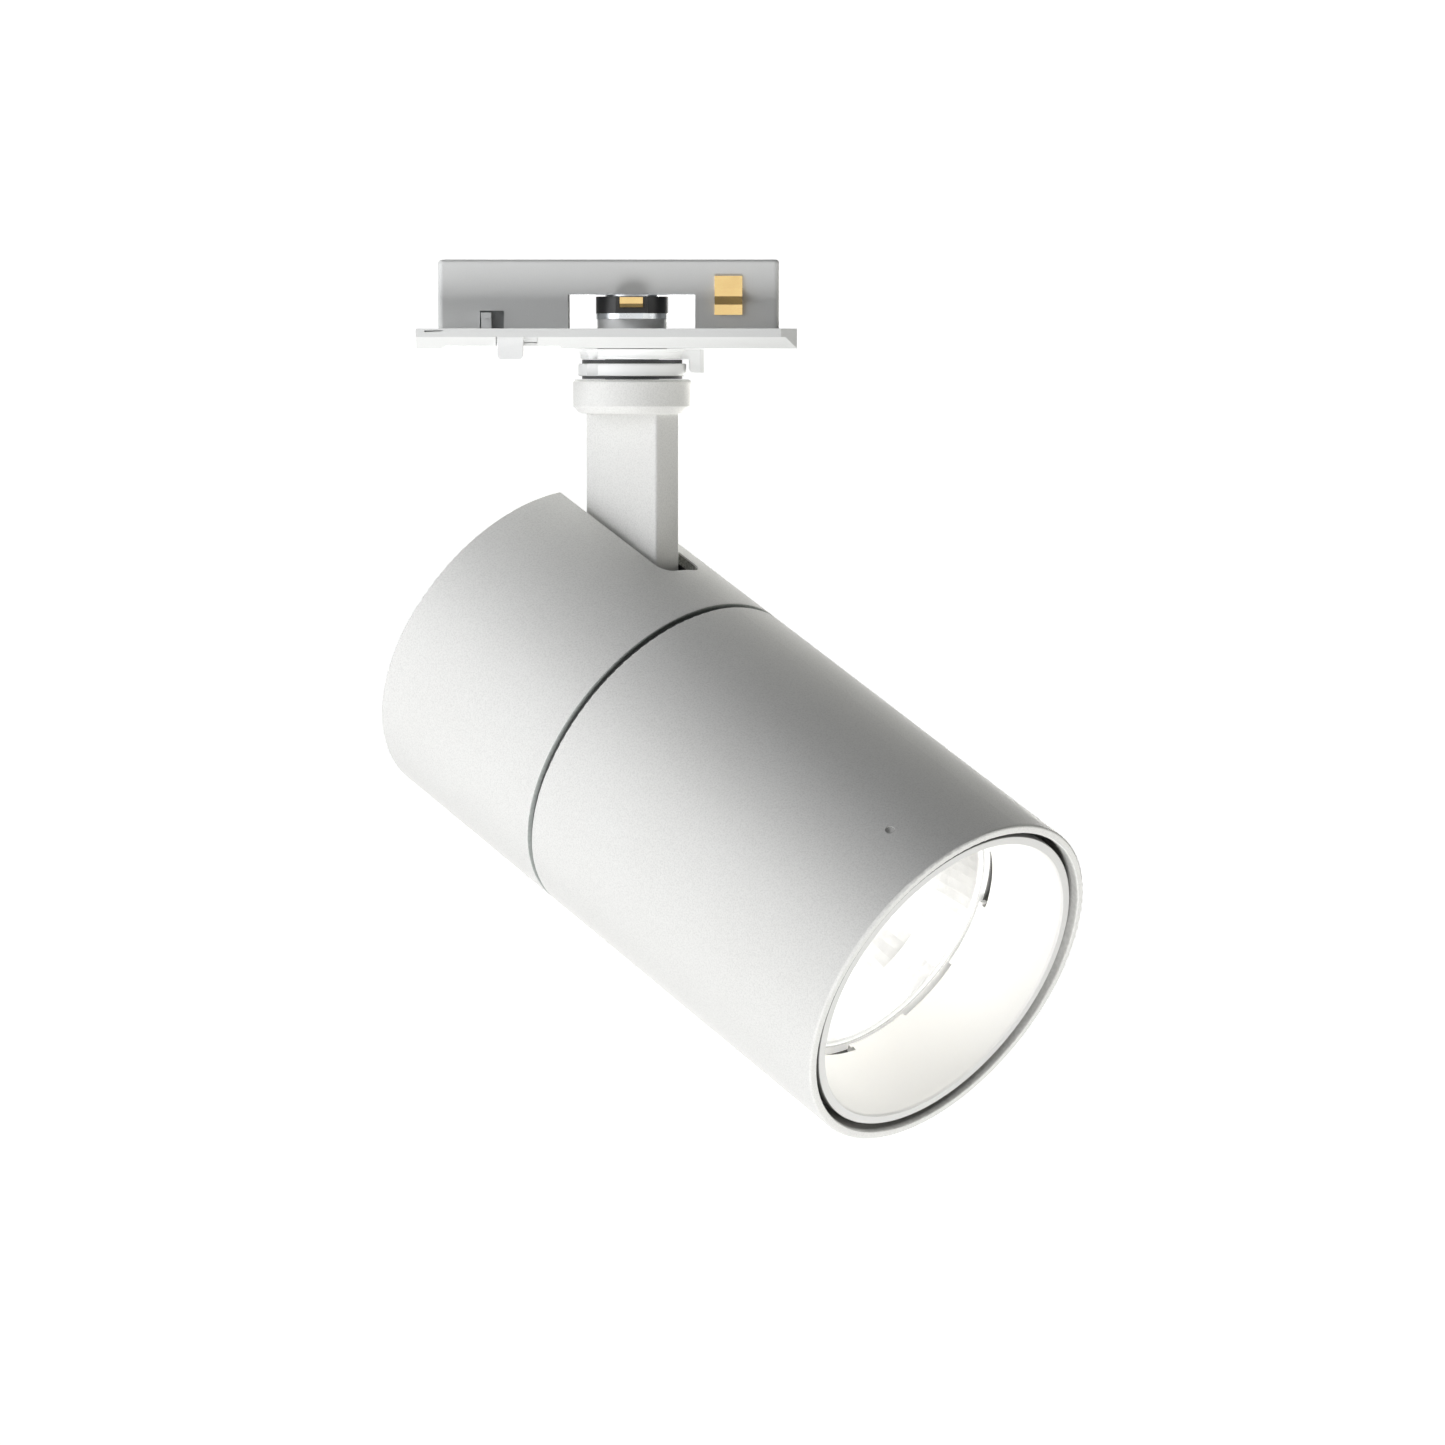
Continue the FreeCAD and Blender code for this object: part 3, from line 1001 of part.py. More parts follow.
# ==== Leads ====================================================================================
def pipe(label, pts, radius, place=None, bend=0.45):
    """Round lead along straight runs joined by tangent arcs, each as large as its runs allow."""
    P = [FreeCAD.Vector(*p) for p in pts]
    edges, last = [], P[0]
    for i in range(1, len(P) - 1):
        a, c = P[i - 1] - P[i], P[i + 1] - P[i]
        run = min(a.Length, c.Length)
        share = bend[i - 1] if isinstance(bend, tuple) else bend
        a.normalize(); c.normalize()
        turn = math.pi - a.getAngle(c)
        r = share * run / math.tan(turn / 2)
        k = r * math.tan(turn / 2)
        p1, p2 = P[i] + a * k, P[i] + c * k
        mid = a + c
        mid.normalize()
        m = P[i] + mid * (r / math.cos(turn / 2) - r)
        if (p1 - last).Length > 1e-6:
            edges.append(Part.LineSegment(last, p1).toShape())
        edges.append(Part.Arc(p1, m, p2).toShape())
        last = p2
        print(label, "bend radius %.2f" % r)
    edges.append(Part.LineSegment(last, P[-1]).toShape())
    path = Part.Wire(edges)
    d0 = P[1] - P[0]
    ring = Part.Wire([Part.makeCircle(radius, P[0], d0)])
    solid = path.makePipeShell([ring], True, False, 2)
    if abs(solid.Volume - math.pi * radius * radius * path.Length) > 0.02 * solid.Volume:
        fail("lead volume is off: " + label)
    o = doc.addObject("Part::Feature", nm("Lead"))
    o.Shape = solid
    return keep(o, label, place)


zt = D["insert_top"] - 2.25
pipe("lead_adapter", [(-28.0, 0, 1.2), (-22.2, 0, 1.2), (-20.4, 0, 4.4), (-20.4, 0, 9.6), (-16.4, 0, zt), (0, 0, zt), (0, 0, -14.8)], 1.2, None, (0.45, 0.45, 0.45, 0.45, 0.2))
pzv = v(pz)
pipe("lead_stem", [(0, 0, -15.4), (0, 0, -pzv + 9.9), (-9.1, 0, -pzv - 0.95)], 1.2, STEM, 0.3)
# lead from its clamp on the lid, down past the case's front edge and in at the inlet window
pipe("lead_head", [(-9.0, -12.5, 4.75), (4.5, -12.5, 4.75), (4.5, -12.5, -3.8), (-3.6, -12.5, -3.8)], 1.1, HEAD, 0.27)
b = new_body("lead_clamp")
s = polygon(sketch_on(b, "YZ_Plane", -7.0), [(-17.5, 3.0), (-14.2, 3.0), (-14.2, 6.4), (-10.8, 6.4), (-10.8, 3.0), (-7.5, 3.0), (-7.5, 4.0),
                                           (-9.8, 4.0), (-9.8, 7.4), (-15.2, 7.4), (-15.2, 4.0), (-17.5, 4.0)])
pad(b, s, 5.0)
keep(b, "lead_clamp", HEAD)
# output pair from the driver's socket, through the web and the seat disc, to the holder's ear
led = cyl(0.9, 46.1 + 2.5, (-2.5, 12.5, -13.9), "X")
keep(group(led), "led_lead", HEAD)

doc.recompute()
os.makedirs("parts", exist_ok=True)
seen = set()
for o in doc.Objects:
    if any(w in o.State for w in ("Invalid", "Error")):
        fail("%s (%s) failed: %s" % (o.Name, o.Label, o.State))
for o in NODES:
    sh = o.Shape
    if sh.isNull() or not sh.isValid() or not sh.Solids:
        fail("bad shape: " + o.Label)
    if o.Label in seen:
        fail("two nodes named " + o.Label)
    seen.add(o.Label)
    print("%-24s solids %d  volume %9.1f" % (o.Label, len(sh.Solids), sh.Volume))
if len(NODES) > 60:
    fail("too many nodes")
for o in NODES:
    o.Shape.exportStep("parts/%s.step" % o.Label)
print(len(NODES), "nodes")
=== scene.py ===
import bpy
import bmesh
import json
import math
from mathutils import Matrix, Vector


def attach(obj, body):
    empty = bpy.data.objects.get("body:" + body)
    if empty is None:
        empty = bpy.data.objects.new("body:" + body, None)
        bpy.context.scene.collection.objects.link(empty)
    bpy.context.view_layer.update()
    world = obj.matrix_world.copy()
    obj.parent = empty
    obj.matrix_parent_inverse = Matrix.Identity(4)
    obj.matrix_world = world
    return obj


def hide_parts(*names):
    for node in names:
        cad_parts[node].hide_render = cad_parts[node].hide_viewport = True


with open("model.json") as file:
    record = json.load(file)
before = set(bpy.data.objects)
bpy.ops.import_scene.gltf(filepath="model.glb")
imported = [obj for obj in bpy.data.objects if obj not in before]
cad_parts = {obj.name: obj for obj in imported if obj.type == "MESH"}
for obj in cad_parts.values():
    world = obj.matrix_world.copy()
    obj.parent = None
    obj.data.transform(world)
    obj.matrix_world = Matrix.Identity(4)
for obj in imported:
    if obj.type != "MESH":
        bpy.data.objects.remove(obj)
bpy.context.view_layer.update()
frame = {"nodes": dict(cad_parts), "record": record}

N = frame["nodes"]
scene = bpy.context.scene
MM = 0.001

# The head's own axes: X along its optical axis, towards the mouth, and Z up through the stem slot.
HEAD = (Matrix.Translation((0, 0, -0.088165)) @ Matrix.Rotation(math.radians(-41.486), 4, "Z")
        @ Matrix.Rotation(math.radians(28.755), 4, "Y"))


# ---- node helpers ---------------------------------------------------------------------------
class Mat:
    """A Principled material with the few procedural blocks that all of them use."""

    def __init__(self, name, **sockets):
        self.m = bpy.data.materials.new(name)
        self.m.use_nodes = True
        self.nt = self.m.node_tree
        self.nt.nodes.clear()
        out = self.nt.nodes.new("ShaderNodeOutputMaterial")
        self.b = self.nt.nodes.new("ShaderNodeBsdfPrincipled")
        self.nt.links.new(self.b.outputs["BSDF"], out.inputs["Surface"])
        for key, value in sockets.items():
            self.b.inputs[key.replace("_", " ")].default_value = value
        tc = self.nt.nodes.new("ShaderNodeTexCoord")
        self.co = tc.outputs["Object"]
        self.height = None
        self.diffuse_color(sockets.get("Base_Color", (0.8, 0.8, 0.8, 1)))

    def diffuse_color(self, c):
        self.m.diffuse_color = c

    def mapping(self, scale=(1, 1, 1), rot=(0, 0, 0), loc=(0, 0, 0)):
        n = self.nt.nodes.new("ShaderNodeMapping")
        n.inputs["Scale"].default_value = scale
        n.inputs["Rotation"].default_value = rot
        n.inputs["Location"].default_value = loc
        self.nt.links.new(self.co, n.inputs["Vector"])
        return n.outputs["Vector"]

    def noise(self, scale, detail=2.0, rough=0.5, vec=None, distort=0.0):
        n = self.nt.nodes.new("ShaderNodeTexNoise")
        n.inputs["Scale"].default_value = scale
        n.inputs["Detail"].default_value = detail
        n.inputs["Roughness"].default_value = rough
        n.inputs["Distortion"].default_value = distort
        self.nt.links.new(vec or self.co, n.inputs["Vector"])
        return n.outputs["Fac"]

    def voronoi(self, scale, feature="F1", vec=None, out="Distance"):
        n = self.nt.nodes.new("ShaderNodeTexVoronoi")
        n.feature = feature
        n.inputs["Scale"].default_value = scale
        self.nt.links.new(vec or self.co, n.inputs["Vector"])
        return n.outputs[out]

    def wave(self, scale, vec=None, distort=0.0, detail=2.0, kind="BANDS", axis="X"):
        n = self.nt.nodes.new("ShaderNodeTexWave")
        n.wave_type = kind
        if kind == "BANDS":
            n.bands_direction = axis
        else:
            n.rings_direction = axis
        n.inputs["Scale"].default_value = scale
        n.inputs["Distortion"].default_value = distort
        n.inputs["Detail"].default_value = detail
        self.nt.links.new(vec or self.co, n.inputs["Vector"])
        return n.outputs["Fac"]

    def ramp(self, fac, stops):
        n = self.nt.nodes.new("ShaderNodeValToRGB")
        e = n.color_ramp.elements
        e[0].position, e[0].color = stops[0][0], (*stops[0][1], 1)
        e[1].position, e[1].color = stops[-1][0], (*stops[-1][1], 1)
        for p, c in stops[1:-1]:
            x = e.new(p)
            x.color = (*c, 1)
        self.nt.links.new(fac, n.inputs["Fac"])
        return n.outputs["Color"]

    def span(self, fac, lo, hi, a=0.3, b=0.7):
        n = self.nt.nodes.new("ShaderNodeMapRange")
        n.inputs["From Min"].default_value = a
        n.inputs["From Max"].default_value = b
        n.inputs["To Min"].default_value = lo
        n.inputs["To Max"].default_value = hi
        self.nt.links.new(fac, n.inputs["Value"])
        return n.outputs["Result"]

    def mix(self, fac, a, b, mode="MIX", share=0.5):
        n = self.nt.nodes.new("ShaderNodeMix")
        n.data_type = "RGBA"
        n.blend_type = mode
        if fac is None:
            n.inputs[0].default_value = share
        else:
            self.nt.links.new(fac, n.inputs[0])
        for value, socket in ((a, n.inputs[6]), (b, n.inputs[7])):
            if isinstance(value, tuple):
                socket.default_value = (*value, 1)
            else:
                self.nt.links.new(value, socket)
        return n.outputs[2]

    def add(self, a, b, ka=1.0, kb=1.0):
        out = []
        for s, k in ((a, ka), (b, kb)):
            n = self.nt.nodes.new("ShaderNodeMath")
            n.operation = "MULTIPLY"
            self.nt.links.new(s, n.inputs[0])
            n.inputs[1].default_value = k
            out.append(n.outputs[0])
        n = self.nt.nodes.new("ShaderNodeMath")
        n.operation = "ADD"
        self.nt.links.new(out[0], n.inputs[0])
        self.nt.links.new(out[1], n.inputs[1])
        return n.outputs[0]

    def head_space(self):
        """Distance along the head's axis and radius from it, in metres."""
        back = HEAD.inverted()
        n = self.nt.nodes.new("ShaderNodeMapping")
        n.inputs["Rotation"].default_value = back.to_euler()
        n.inputs["Location"].default_value = back.to_translation()
        self.nt.links.new(self.co, n.inputs["Vector"])
        xyz = self.nt.nodes.new("ShaderNodeSeparateXYZ")
        self.nt.links.new(n.outputs["Vector"], xyz.inputs[0])
        flat = self.nt.nodes.new("ShaderNodeVectorMath")
        flat.operation = "MULTIPLY"
        self.nt.links.new(n.outputs["Vector"], flat.inputs[0])
        flat.inputs[1].default_value = (0, 1, 1)
        length = self.nt.nodes.new("ShaderNodeVectorMath")
        length.operation = "LENGTH"
        self.nt.links.new(flat.outputs[0], length.inputs[0])
        return xyz.outputs["X"], length.outputs["Value"]

    def math(self, op, a, b):
        n = self.nt.nodes.new("ShaderNodeMath")
        n.operation = op
        for value, socket in ((a, n.inputs[0]), (b, n.inputs[1])):
            if isinstance(value, float):
                socket.default_value = value
            else:
                self.nt.links.new(value, socket)
        return n.outputs[0]

    def color(self, socket):
        self.nt.links.new(socket, self.b.inputs["Base Color"])

    def roughness(self, socket):
        self.nt.links.new(socket, self.b.inputs["Roughness"])

    def bump(self, socket, depth_mm, strength=1.0):
        n = self.nt.nodes.new("ShaderNodeBump")
        n.inputs["Strength"].default_value = strength
        n.inputs["Distance"].default_value = depth_mm * MM
        self.nt.links.new(socket, n.inputs["Height"])
        self.nt.links.new(n.outputs["Normal"], self.b.inputs["Normal"])


def tint(c, k, warm=0.0):
    return (min(c[0] * k * (1 + warm), 1), min(c[1] * k, 1), min(c[2] * k * (1 - warm), 1))


def coat(name, c, rough, depth, grain, speck=0.035, spec=0.5, housing=False, sleeve=False):
    """Powder coat: orange peel under a finer stipple, with slight drift in tone and gloss. On a housing, the inside
    and the edges of its openings are masked darker, partly a dark primer and partly painted shade in the interior, the
    slot and the groove; on the baffle, the outside of its sleeve is darkened the same way."""
    t = Mat(name, Base_Color=(*c, 1), Specular_IOR_Level=spec)
    peel = t.noise(1000.0 / grain, 2.0, 0.55)
    stipple = t.noise(2600.0 / grain, 2.0, 0.6)
    drift = t.noise(28.0, 3.0, 0.5)
    broad = t.ramp(drift, [(0.3, tint(c, 0.985, 0.003)), (0.7, tint(c, 1.012))])
    fine = t.ramp(stipple, [(0.34, (1 - speck,) * 3), (0.5, (1 - speck * 0.35,) * 3), (0.66, (1.0, 1.0, 1.0))])
    c_out = t.mix(None, broad, fine, "MULTIPLY", 1.0)
    if housing:
        x, r = t.head_space()
        # painted shade, partly real dark primer: the housing's inside and the slot's wall are coloured dark by
        # position on the head, standing in for the shade in there
        inside = t.math("MULTIPLY", t.span(r, 1.0, 0.0, 0.03855, 0.03872), t.span(x, 1.0, 0.0, 0.01078, 0.01086))
        inside = t.math("MULTIPLY", inside, t.span(x, 0.0, 1.0, -0.0393, -0.0391))
        coarse = t.noise(2100.0, 2.0, 0.6)
        dark = t.mix(t.span(r, 0.0, 1.0, 0.0366, 0.0368), t.ramp(peel, [(0.35, (0.012, 0.012, 0.0115)), (0.65, (0.022, 0.022, 0.021))]),
                     t.ramp(coarse, [(0.35, (0.20, 0.20, 0.186)), (0.65, (0.46, 0.46, 0.43))]))
        c_out = t.mix(inside, c_out, dark)
        # painted shade: the rear housing's front face at the groove is coloured mid grey, standing in for the shade it
        # lies in
        face = t.math("MULTIPLY", t.span(x, 0.0, 1.0, 0.01086, 0.01094), t.span(x, 1.0, 0.0, 0.0112, 0.0114))
        c_out = t.mix(face, c_out, t.ramp(peel, [(0.35, (0.44, 0.47, 0.45)), (0.65, (0.52, 0.55, 0.53))]))
        # painted shade: the edges either side of the groove are coloured near black, standing in for the shade in the
        # groove
        seam_shade = t.math("MULTIPLY", t.span(x, 0.0, 1.0, 0.0118, 0.0119), t.span(x, 1.0, 0.0, 0.01238, 0.01246))
        c_out = t.mix(seam_shade, c_out, t.ramp(peel, [(0.35, (0.018, 0.018, 0.017)), (0.65, (0.034, 0.034, 0.032))]))
        # painted shade: the inside of the front barrel ahead of the groove is coloured grey, standing in for the shade
        # inside the barrel and its lip
        bore_shade = t.math("MULTIPLY", t.span(r, 1.0, 0.0, 0.03716, 0.03730), t.span(x, 0.0, 1.0, 0.0114, 0.0116))
        c_out = t.mix(bore_shade, c_out, t.ramp(peel, [(0.35, (0.52, 0.52, 0.50)), (0.65, (0.60, 0.60, 0.58))]))
    if sleeve:
        x, r = t.head_space()
        # painted shade, partly an unpainted sleeve: the baffle's outer wall is coloured near black, standing in for
        # the shade in the gap between baffle and lip
        c_out = t.mix(t.span(r, 0.0, 1.0, 0.03554, 0.03566), c_out, t.ramp(peel, [(0.35, (0.10, 0.10, 0.096)), (0.65, (0.14, 0.14, 0.135))]))
    t.color(c_out)
    t.roughness(t.span(t.add(peel, drift, 0.6, 0.4), rough - 0.045, rough + 0.045))
    t.bump(t.add(peel, stipple, 0.4, 0.6), depth)
    return t.m


def plastic(name, c, rough, depth=0.004, grain=0.25, spec=0.5, drift_k=0.012):
    """Moulded plastic: spark-eroded texture, with faint flow marks."""
    t = Mat(name, Base_Color=(*c, 1), Specular_IOR_Level=spec)
    pits = t.noise(1000.0 / grain, 3.0, 0.6)
    flow = t.noise(40.0, 3.0, 0.5, t.mapping((1.0, 2.4, 1.6)), 0.8)
    broad = t.ramp(flow, [(0.28, tint(c, 1 - drift_k)), (0.72, tint(c, 1 + drift_k))])
    fine = t.ramp(pits, [(0.3, (0.975, 0.975, 0.975)), (0.55, (1.0, 1.0, 1.0))])
    t.color(t.mix(None, broad, fine, "MULTIPLY", 1.0))
    t.roughness(t.span(t.add(pits, flow, 0.5, 0.5), rough - 0.05, rough + 0.06))
    t.bump(pits, depth)
    return t.m


def metal(name, c, rough, axis=None, pitch=0.12, depth=0.003, blot=0.06, aniso=0.0):
    """Worked metal: fine tool marks along or round an axis, with blotches of plating or oxide."""
    t = Mat(name, Base_Color=(*c, 1), Metallic=1.0, Anisotropic=aniso)
    stretch = {"X": (0.04, 1, 1), "Y": (1, 0.04, 1), "Z": (1, 1, 0.04), None: (1, 1, 1)}[axis]
    lines = t.noise(1000.0 / pitch, 2.0, 0.5, t.mapping(stretch))
    spots = t.noise(260.0, 4.0, 0.6)
    t.color(t.ramp(spots, [(0.3, tint(c, 1 - blot, 0.01)), (0.55, c), (0.75, tint(c, 1 + blot * 0.6, -0.01))]))
    t.roughness(t.span(t.add(lines, spots, 0.6, 0.4), max(rough - 0.08, 0.04), rough + 0.1))
    t.bump(lines, depth)
    return t.m


def dark_frame():
    """Matt dark grey anodising on turned aluminium: fine rings from the tool under a dull, slightly mottled layer."""
    t = Mat("dark_anodise", Base_Color=(0.15, 0.156, 0.154, 1), Specular_IOR_Level=0.5)
    x, r = t.head_space()
    rings = t.noise(1.0, 2.0, 0.5, t.math("MULTIPLY", x, 9000.0))
    mottle = t.noise(700.0, 3.0, 0.6)
    t.color(t.ramp(mottle, [(0.3, (0.13, 0.136, 0.134)), (0.7, (0.17, 0.177, 0.174))]))
    t.roughness(t.span(t.add(rings, mottle, 0.5, 0.5), 0.38, 0.55))
    t.bump(rings, 0.004)
    return t.m


def ring_painted_light():
    """Milky polycarbonate with a weak glow of its own: painted light, standing in for the lamp lighting the ring from
    behind.
    """
    # painted light: emission strength 0.34 on a part that is no lamp
    t = Mat("ring_polycarbonate", Base_Color=(0.86, 0.86, 0.85, 1), Roughness=0.4, Emission_Strength=0.34)
    cloud = t.noise(160.0, 3.0, 0.55)
    pits = t.noise(3600.0, 2.0, 0.6)
    t.nt.links.new(t.ramp(cloud, [(0.3, (0.93, 0.925, 0.90)), (0.7, (1.0, 1.0, 0.985))]), t.b.inputs["Emission Color"])
    t.color(t.ramp(cloud, [(0.3, (0.84, 0.84, 0.825)), (0.7, (0.87, 0.87, 0.86))]))
    t.roughness(t.span(pits, 0.34, 0.46))
    t.bump(pits, 0.003)
    return t.m


# ---- materials ------------------------------------------------------------------------------
COAT = (0.81, 0.81, 0.79)
MATS = {
    "coated_housing": coat("satin_coat", COAT, 0.47, 0.048, 0.85, 0.13, 0.25, housing=True),
    "coated_casting": coat("casting_coat", (0.82, 0.82, 0.80), 0.47, 0.045, 0.80, 0.12, 0.3),
    "adapter_plastic": plastic("adapter_polycarbonate", (0.75, 0.757, 0.748), 0.45, 0.005, 0.3, 0.35),
    "lever_plastic": plastic("lever_acetal", (0.86, 0.866, 0.862), 0.38, 0.003, 0.2),
    "baffle_white": coat("baffle_paint", (0.70, 0.70, 0.688), 0.55, 0.010, 0.30, 0.02, sleeve=True),
    "dark_anodised": dark_frame(),
    "dark_washer": plastic("dark_fibre", (0.035, 0.036, 0.037), 0.55, 0.006, 0.2),
    "black_plastic": plastic("black_nylon", (0.02, 0.02, 0.021), 0.48, 0.005, 0.25),
    "grey_plastic": plastic("grey_nylon", (0.42, 0.43, 0.44), 0.45, 0.005, 0.25),
    "zinc_steel": metal("zinc_plate", (0.66, 0.68, 0.70), 0.30, None, 0.2, 0.002, 0.08),
    "spring_steel": metal("spring_steel", (0.40, 0.40, 0.41), 0.26, "Z", 0.1, 0.002, 0.05),
    "friction_plastic": plastic("natural_acetal", (0.78, 0.75, 0.66), 0.5, 0.004, 0.3),
    "contact_brass": metal("contact_brass", (0.80, 0.58, 0.26), 0.22, "X", 0.1, 0.002, 0.07),
    "lead_sheath": plastic("white_sheath", (0.80, 0.80, 0.79), 0.38, 0.002, 0.3),
    "lead_sheath_red": plastic("red_sheath", (0.55, 0.03, 0.025), 0.36, 0.002, 0.3),
    "black_screw": metal("black_oxide", (0.035, 0.035, 0.037), 0.38, None, 0.15, 0.002, 0.1),
    "sink_aluminium": metal("turned_aluminium", (0.70, 0.71, 0.72), 0.34, None, 0.15, 0.003, 0.05),
    "ring_plastic": ring_painted_light(),
    "holder_plastic": plastic("holder_polyester", (0.84, 0.84, 0.82), 0.5, 0.006, 0.2),
    "driver_plastic": plastic("driver_case", (0.74, 0.75, 0.75), 0.5, 0.006, 0.25),
    "chip_ceramic": plastic("chip_substrate", (0.82, 0.82, 0.80), 0.3, 0.001, 0.1),
}


def bright_anodise():
    t = Mat("bright_anodise", Base_Color=(0.85, 0.85, 0.848, 1), Metallic=1.0)
    haze = t.noise(420.0, 3.0, 0.6)
    ripple = t.noise(1500.0, 2.0, 0.5)
    t.color(t.ramp(haze, [(0.3, (0.835, 0.835, 0.833)), (0.7, (0.87, 0.87, 0.868))]))
    t.roughness(t.span(haze, 0.28, 0.36))
    t.bump(ripple, 0.003)
    return t.m


def phosphor():
    t = Mat("lit_phosphor", Base_Color=(0.95, 0.80, 0.35, 1), Roughness=0.25, Emission_Strength=65.0)
    grain = t.noise(5200.0, 2.0, 0.6)
    glow = t.ramp(grain, [(0.3, (1.0, 0.955, 0.88)), (0.7, (1.0, 0.98, 0.93))])
    t.nt.links.new(glow, t.b.inputs["Emission Color"])
    t.color(t.ramp(grain, [(0.3, (0.92, 0.74, 0.28)), (0.7, (0.97, 0.84, 0.42))]))
    t.bump(grain, 0.004)
    return t.m


def circuit_board():
    """Solder mask over copper tracks that run in two directions, with plated vias."""
    t = Mat("solder_mask", Base_Color=(0.02, 0.13, 0.06, 1), Specular_IOR_Level=0.55)
    v = t.mapping((1, 1, 1), (0, 0, math.radians(41.486)))
    runs = t.voronoi(210.0, "DISTANCE_TO_EDGE", v)
    dots = t.voronoi(330.0, "F1", v)
    c = t.ramp(runs, [(0.05, (0.05, 0.26, 0.12)), (0.08, (0.02, 0.13, 0.06))])
    t.color(t.mix(t.span(dots, 1.0, 0.0, 0.10, 0.13), c, (0.62, 0.63, 0.60)))
    t.roughness(t.span(t.noise(900.0, 2.0), 0.22, 0.34))
    t.bump(t.span(runs, 1.0, 0.0, 0.05, 0.09), 0.03)
    return t.m


def ferrite():
    t = Mat("ferrite_and_tape", Base_Color=(0.09, 0.08, 0.075, 1))
    g = t.noise(1800.0, 4.0, 0.7)
    t.color(t.ramp(g, [(0.35, (0.05, 0.047, 0.045)), (0.7, (0.12, 0.11, 0.10))]))
    t.roughness(t.span(g, 0.45, 0.7))
    t.bump(g, 0.02)
    return t.m


def shrink_sleeve():
    t = Mat("shrink_sleeve", Base_Color=(0.03, 0.045, 0.11, 1), Specular_IOR_Level=0.55)
    pull = t.noise(120.0, 3.0, 0.5, t.mapping((1, 1, 0.3)))
    t.color(t.ramp(pull, [(0.3, (0.025, 0.038, 0.095)), (0.7, (0.04, 0.06, 0.14))]))
    t.roughness(t.span(pull, 0.24, 0.36))
    t.bump(pull, 0.04)
    return t.m


MATS["reflector_aluminium"] = bright_anodise()
MATS["chip_phosphor"] = phosphor()
MATS["board_green"] = circuit_board()
MATS["transformer_core"] = ferrite()
MATS["capacitor_sleeve"] = shrink_sleeve()

slot_of = {s["node"]: s["material_slot"] for s in frame["record"]["subparts"]}
for name, o in N.items():
    for s in o.material_slots:
        s.material = MATS[slot_of[name]]
# the grub screws take a darker, duller coat than the barrel round them
for s in N["baffle_set_screws"].material_slots:
    s.material = coat("darker_screw_coat", (0.64, 0.64, 0.62), 0.62, 0.012, 0.42, 0.10, 0.2)


# ---- mesh helpers ---------------------------------------------------------------------------
def piece(name, bm, material, body, smooth_deg=35.0):
    bmesh.ops.recalc_face_normals(bm, faces=bm.faces)
    me = bpy.data.meshes.new(name)
    bm.to_mesh(me)
    bm.free()
    o = bpy.data.objects.new(name, me)
    scene.collection.objects.link(o)
    me.materials.append(material)
    for p in me.polygons:
        p.use_smooth = True
    me.set_sharp_from_angle(angle=math.radians(smooth_deg))
    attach(o, body)
    return o


def lathe(profile, steps, place=HEAD):
    """Closed solid of revolution about the local X axis, from (x, r) points in mm. A point with r 0 is one vertex."""
    bm = bmesh.new()
    rings = []
    for x, r in profile:
        if r < 1e-6:
            rings.append([bm.verts.new(place @ Vector((x * MM, 0, 0)))])
        else:
            rings.append([bm.verts.new(place @ Vector((x * MM, r * MM * math.cos(2 * math.pi * k / steps),
                                                       r * MM * math.sin(2 * math.pi * k / steps)))) for k in range(steps)])
    for a, b in zip(rings, rings[1:] + rings[:1]):
        if len(a) == 1 and len(b) == 1:
            continue
        for k in range(steps):
            j = (k + 1) % steps
            if len(a) == 1:
                bm.faces.new((a[0], b[k], b[j]))
            elif len(b) == 1:
                bm.faces.new((a[k], b[0], a[j]))
            else:
                bm.faces.new((a[k], b[k], b[j], a[j]))
    return bm


# ---- reflector: rows of small peened facets, each slightly crowned, on the spun bowl --------------
BOWL = [(48.6, 8.2), (52.0, 14.2), (57.0, 19.4), (64.0, 24.0), (72.0, 27.3), (80.4, 29.2)]


def bowl_radius(x):
    for (x0, r0), (x1, r1) in zip(BOWL, BOWL[1:]):
        if x <= x1 + 1e-9:
            return r0 + (r1 - r0) * (x - x0) / (x1 - x0)
    return BOWL[-1][1]


def reflector_mesh():
    columns, sub = 72, 3
    edges = [48.6, 49.73, 50.86, 52.0, 53.25, 54.5, 55.75, 57.0, 58.75, 60.5, 62.25, 64.0, 66.0, 68.0, 70.0, 72.0, 74.1, 76.2, 78.3, 80.4]
    xs = []
    for a, b in zip(edges, edges[1:]):
        xs += [(a + (b - a) * k / sub, k / sub) for k in range(sub)]
    xs.append((edges[-1], 0.0))
    bm = bmesh.new()
    inner, outer = [], []
    for x, tx in xs:
        ri, ro = [], []
        r_out = bowl_radius(x)
        for c in range(columns):
            a0, a1 = 2 * math.pi * c / columns, 2 * math.pi * (c + 1) / columns
            p0, p1 = Vector((math.cos(a0), math.sin(a0))), Vector((math.cos(a1), math.sin(a1)))
            for k in range(sub):
                ty = k / sub
                d = p0.lerp(p1, ty).normalized()
                crown = 16 * tx * (1 - tx) * ty * (1 - ty)
                q = d.normalized() * (r_out - 0.6 - 0.05 * crown)
                ri.append(bm.verts.new(HEAD @ Vector((x * MM, q.x * MM, q.y * MM))))
                q = d * (r_out * math.cos(math.pi / 24) - 0.02)
                ro.append(bm.verts.new(HEAD @ Vector((x * MM, q.x * MM, q.y * MM))))
        inner.append(ri)
        outer.append(ro)
    n = columns * sub
    for grid, flip in ((inner, False), (outer, True)):
        for a, b in zip(grid, grid[1:]):
            for k in range(n):
                j = (k + 1) % n
                bm.faces.new((a[k], b[k], b[j], a[j]) if flip else (a[k], a[j], b[j], b[k]))
    for i in (0, -1):
        for k in range(n):
            j = (k + 1) % n
            bm.faces.new((inner[i][k], outer[i][k], outer[i][j], inner[i][j]))
    return bm


reflector = piece("reflector_facets", reflector_mesh(), MATS["reflector_aluminium"], "head", 3.0)
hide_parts("reflector")

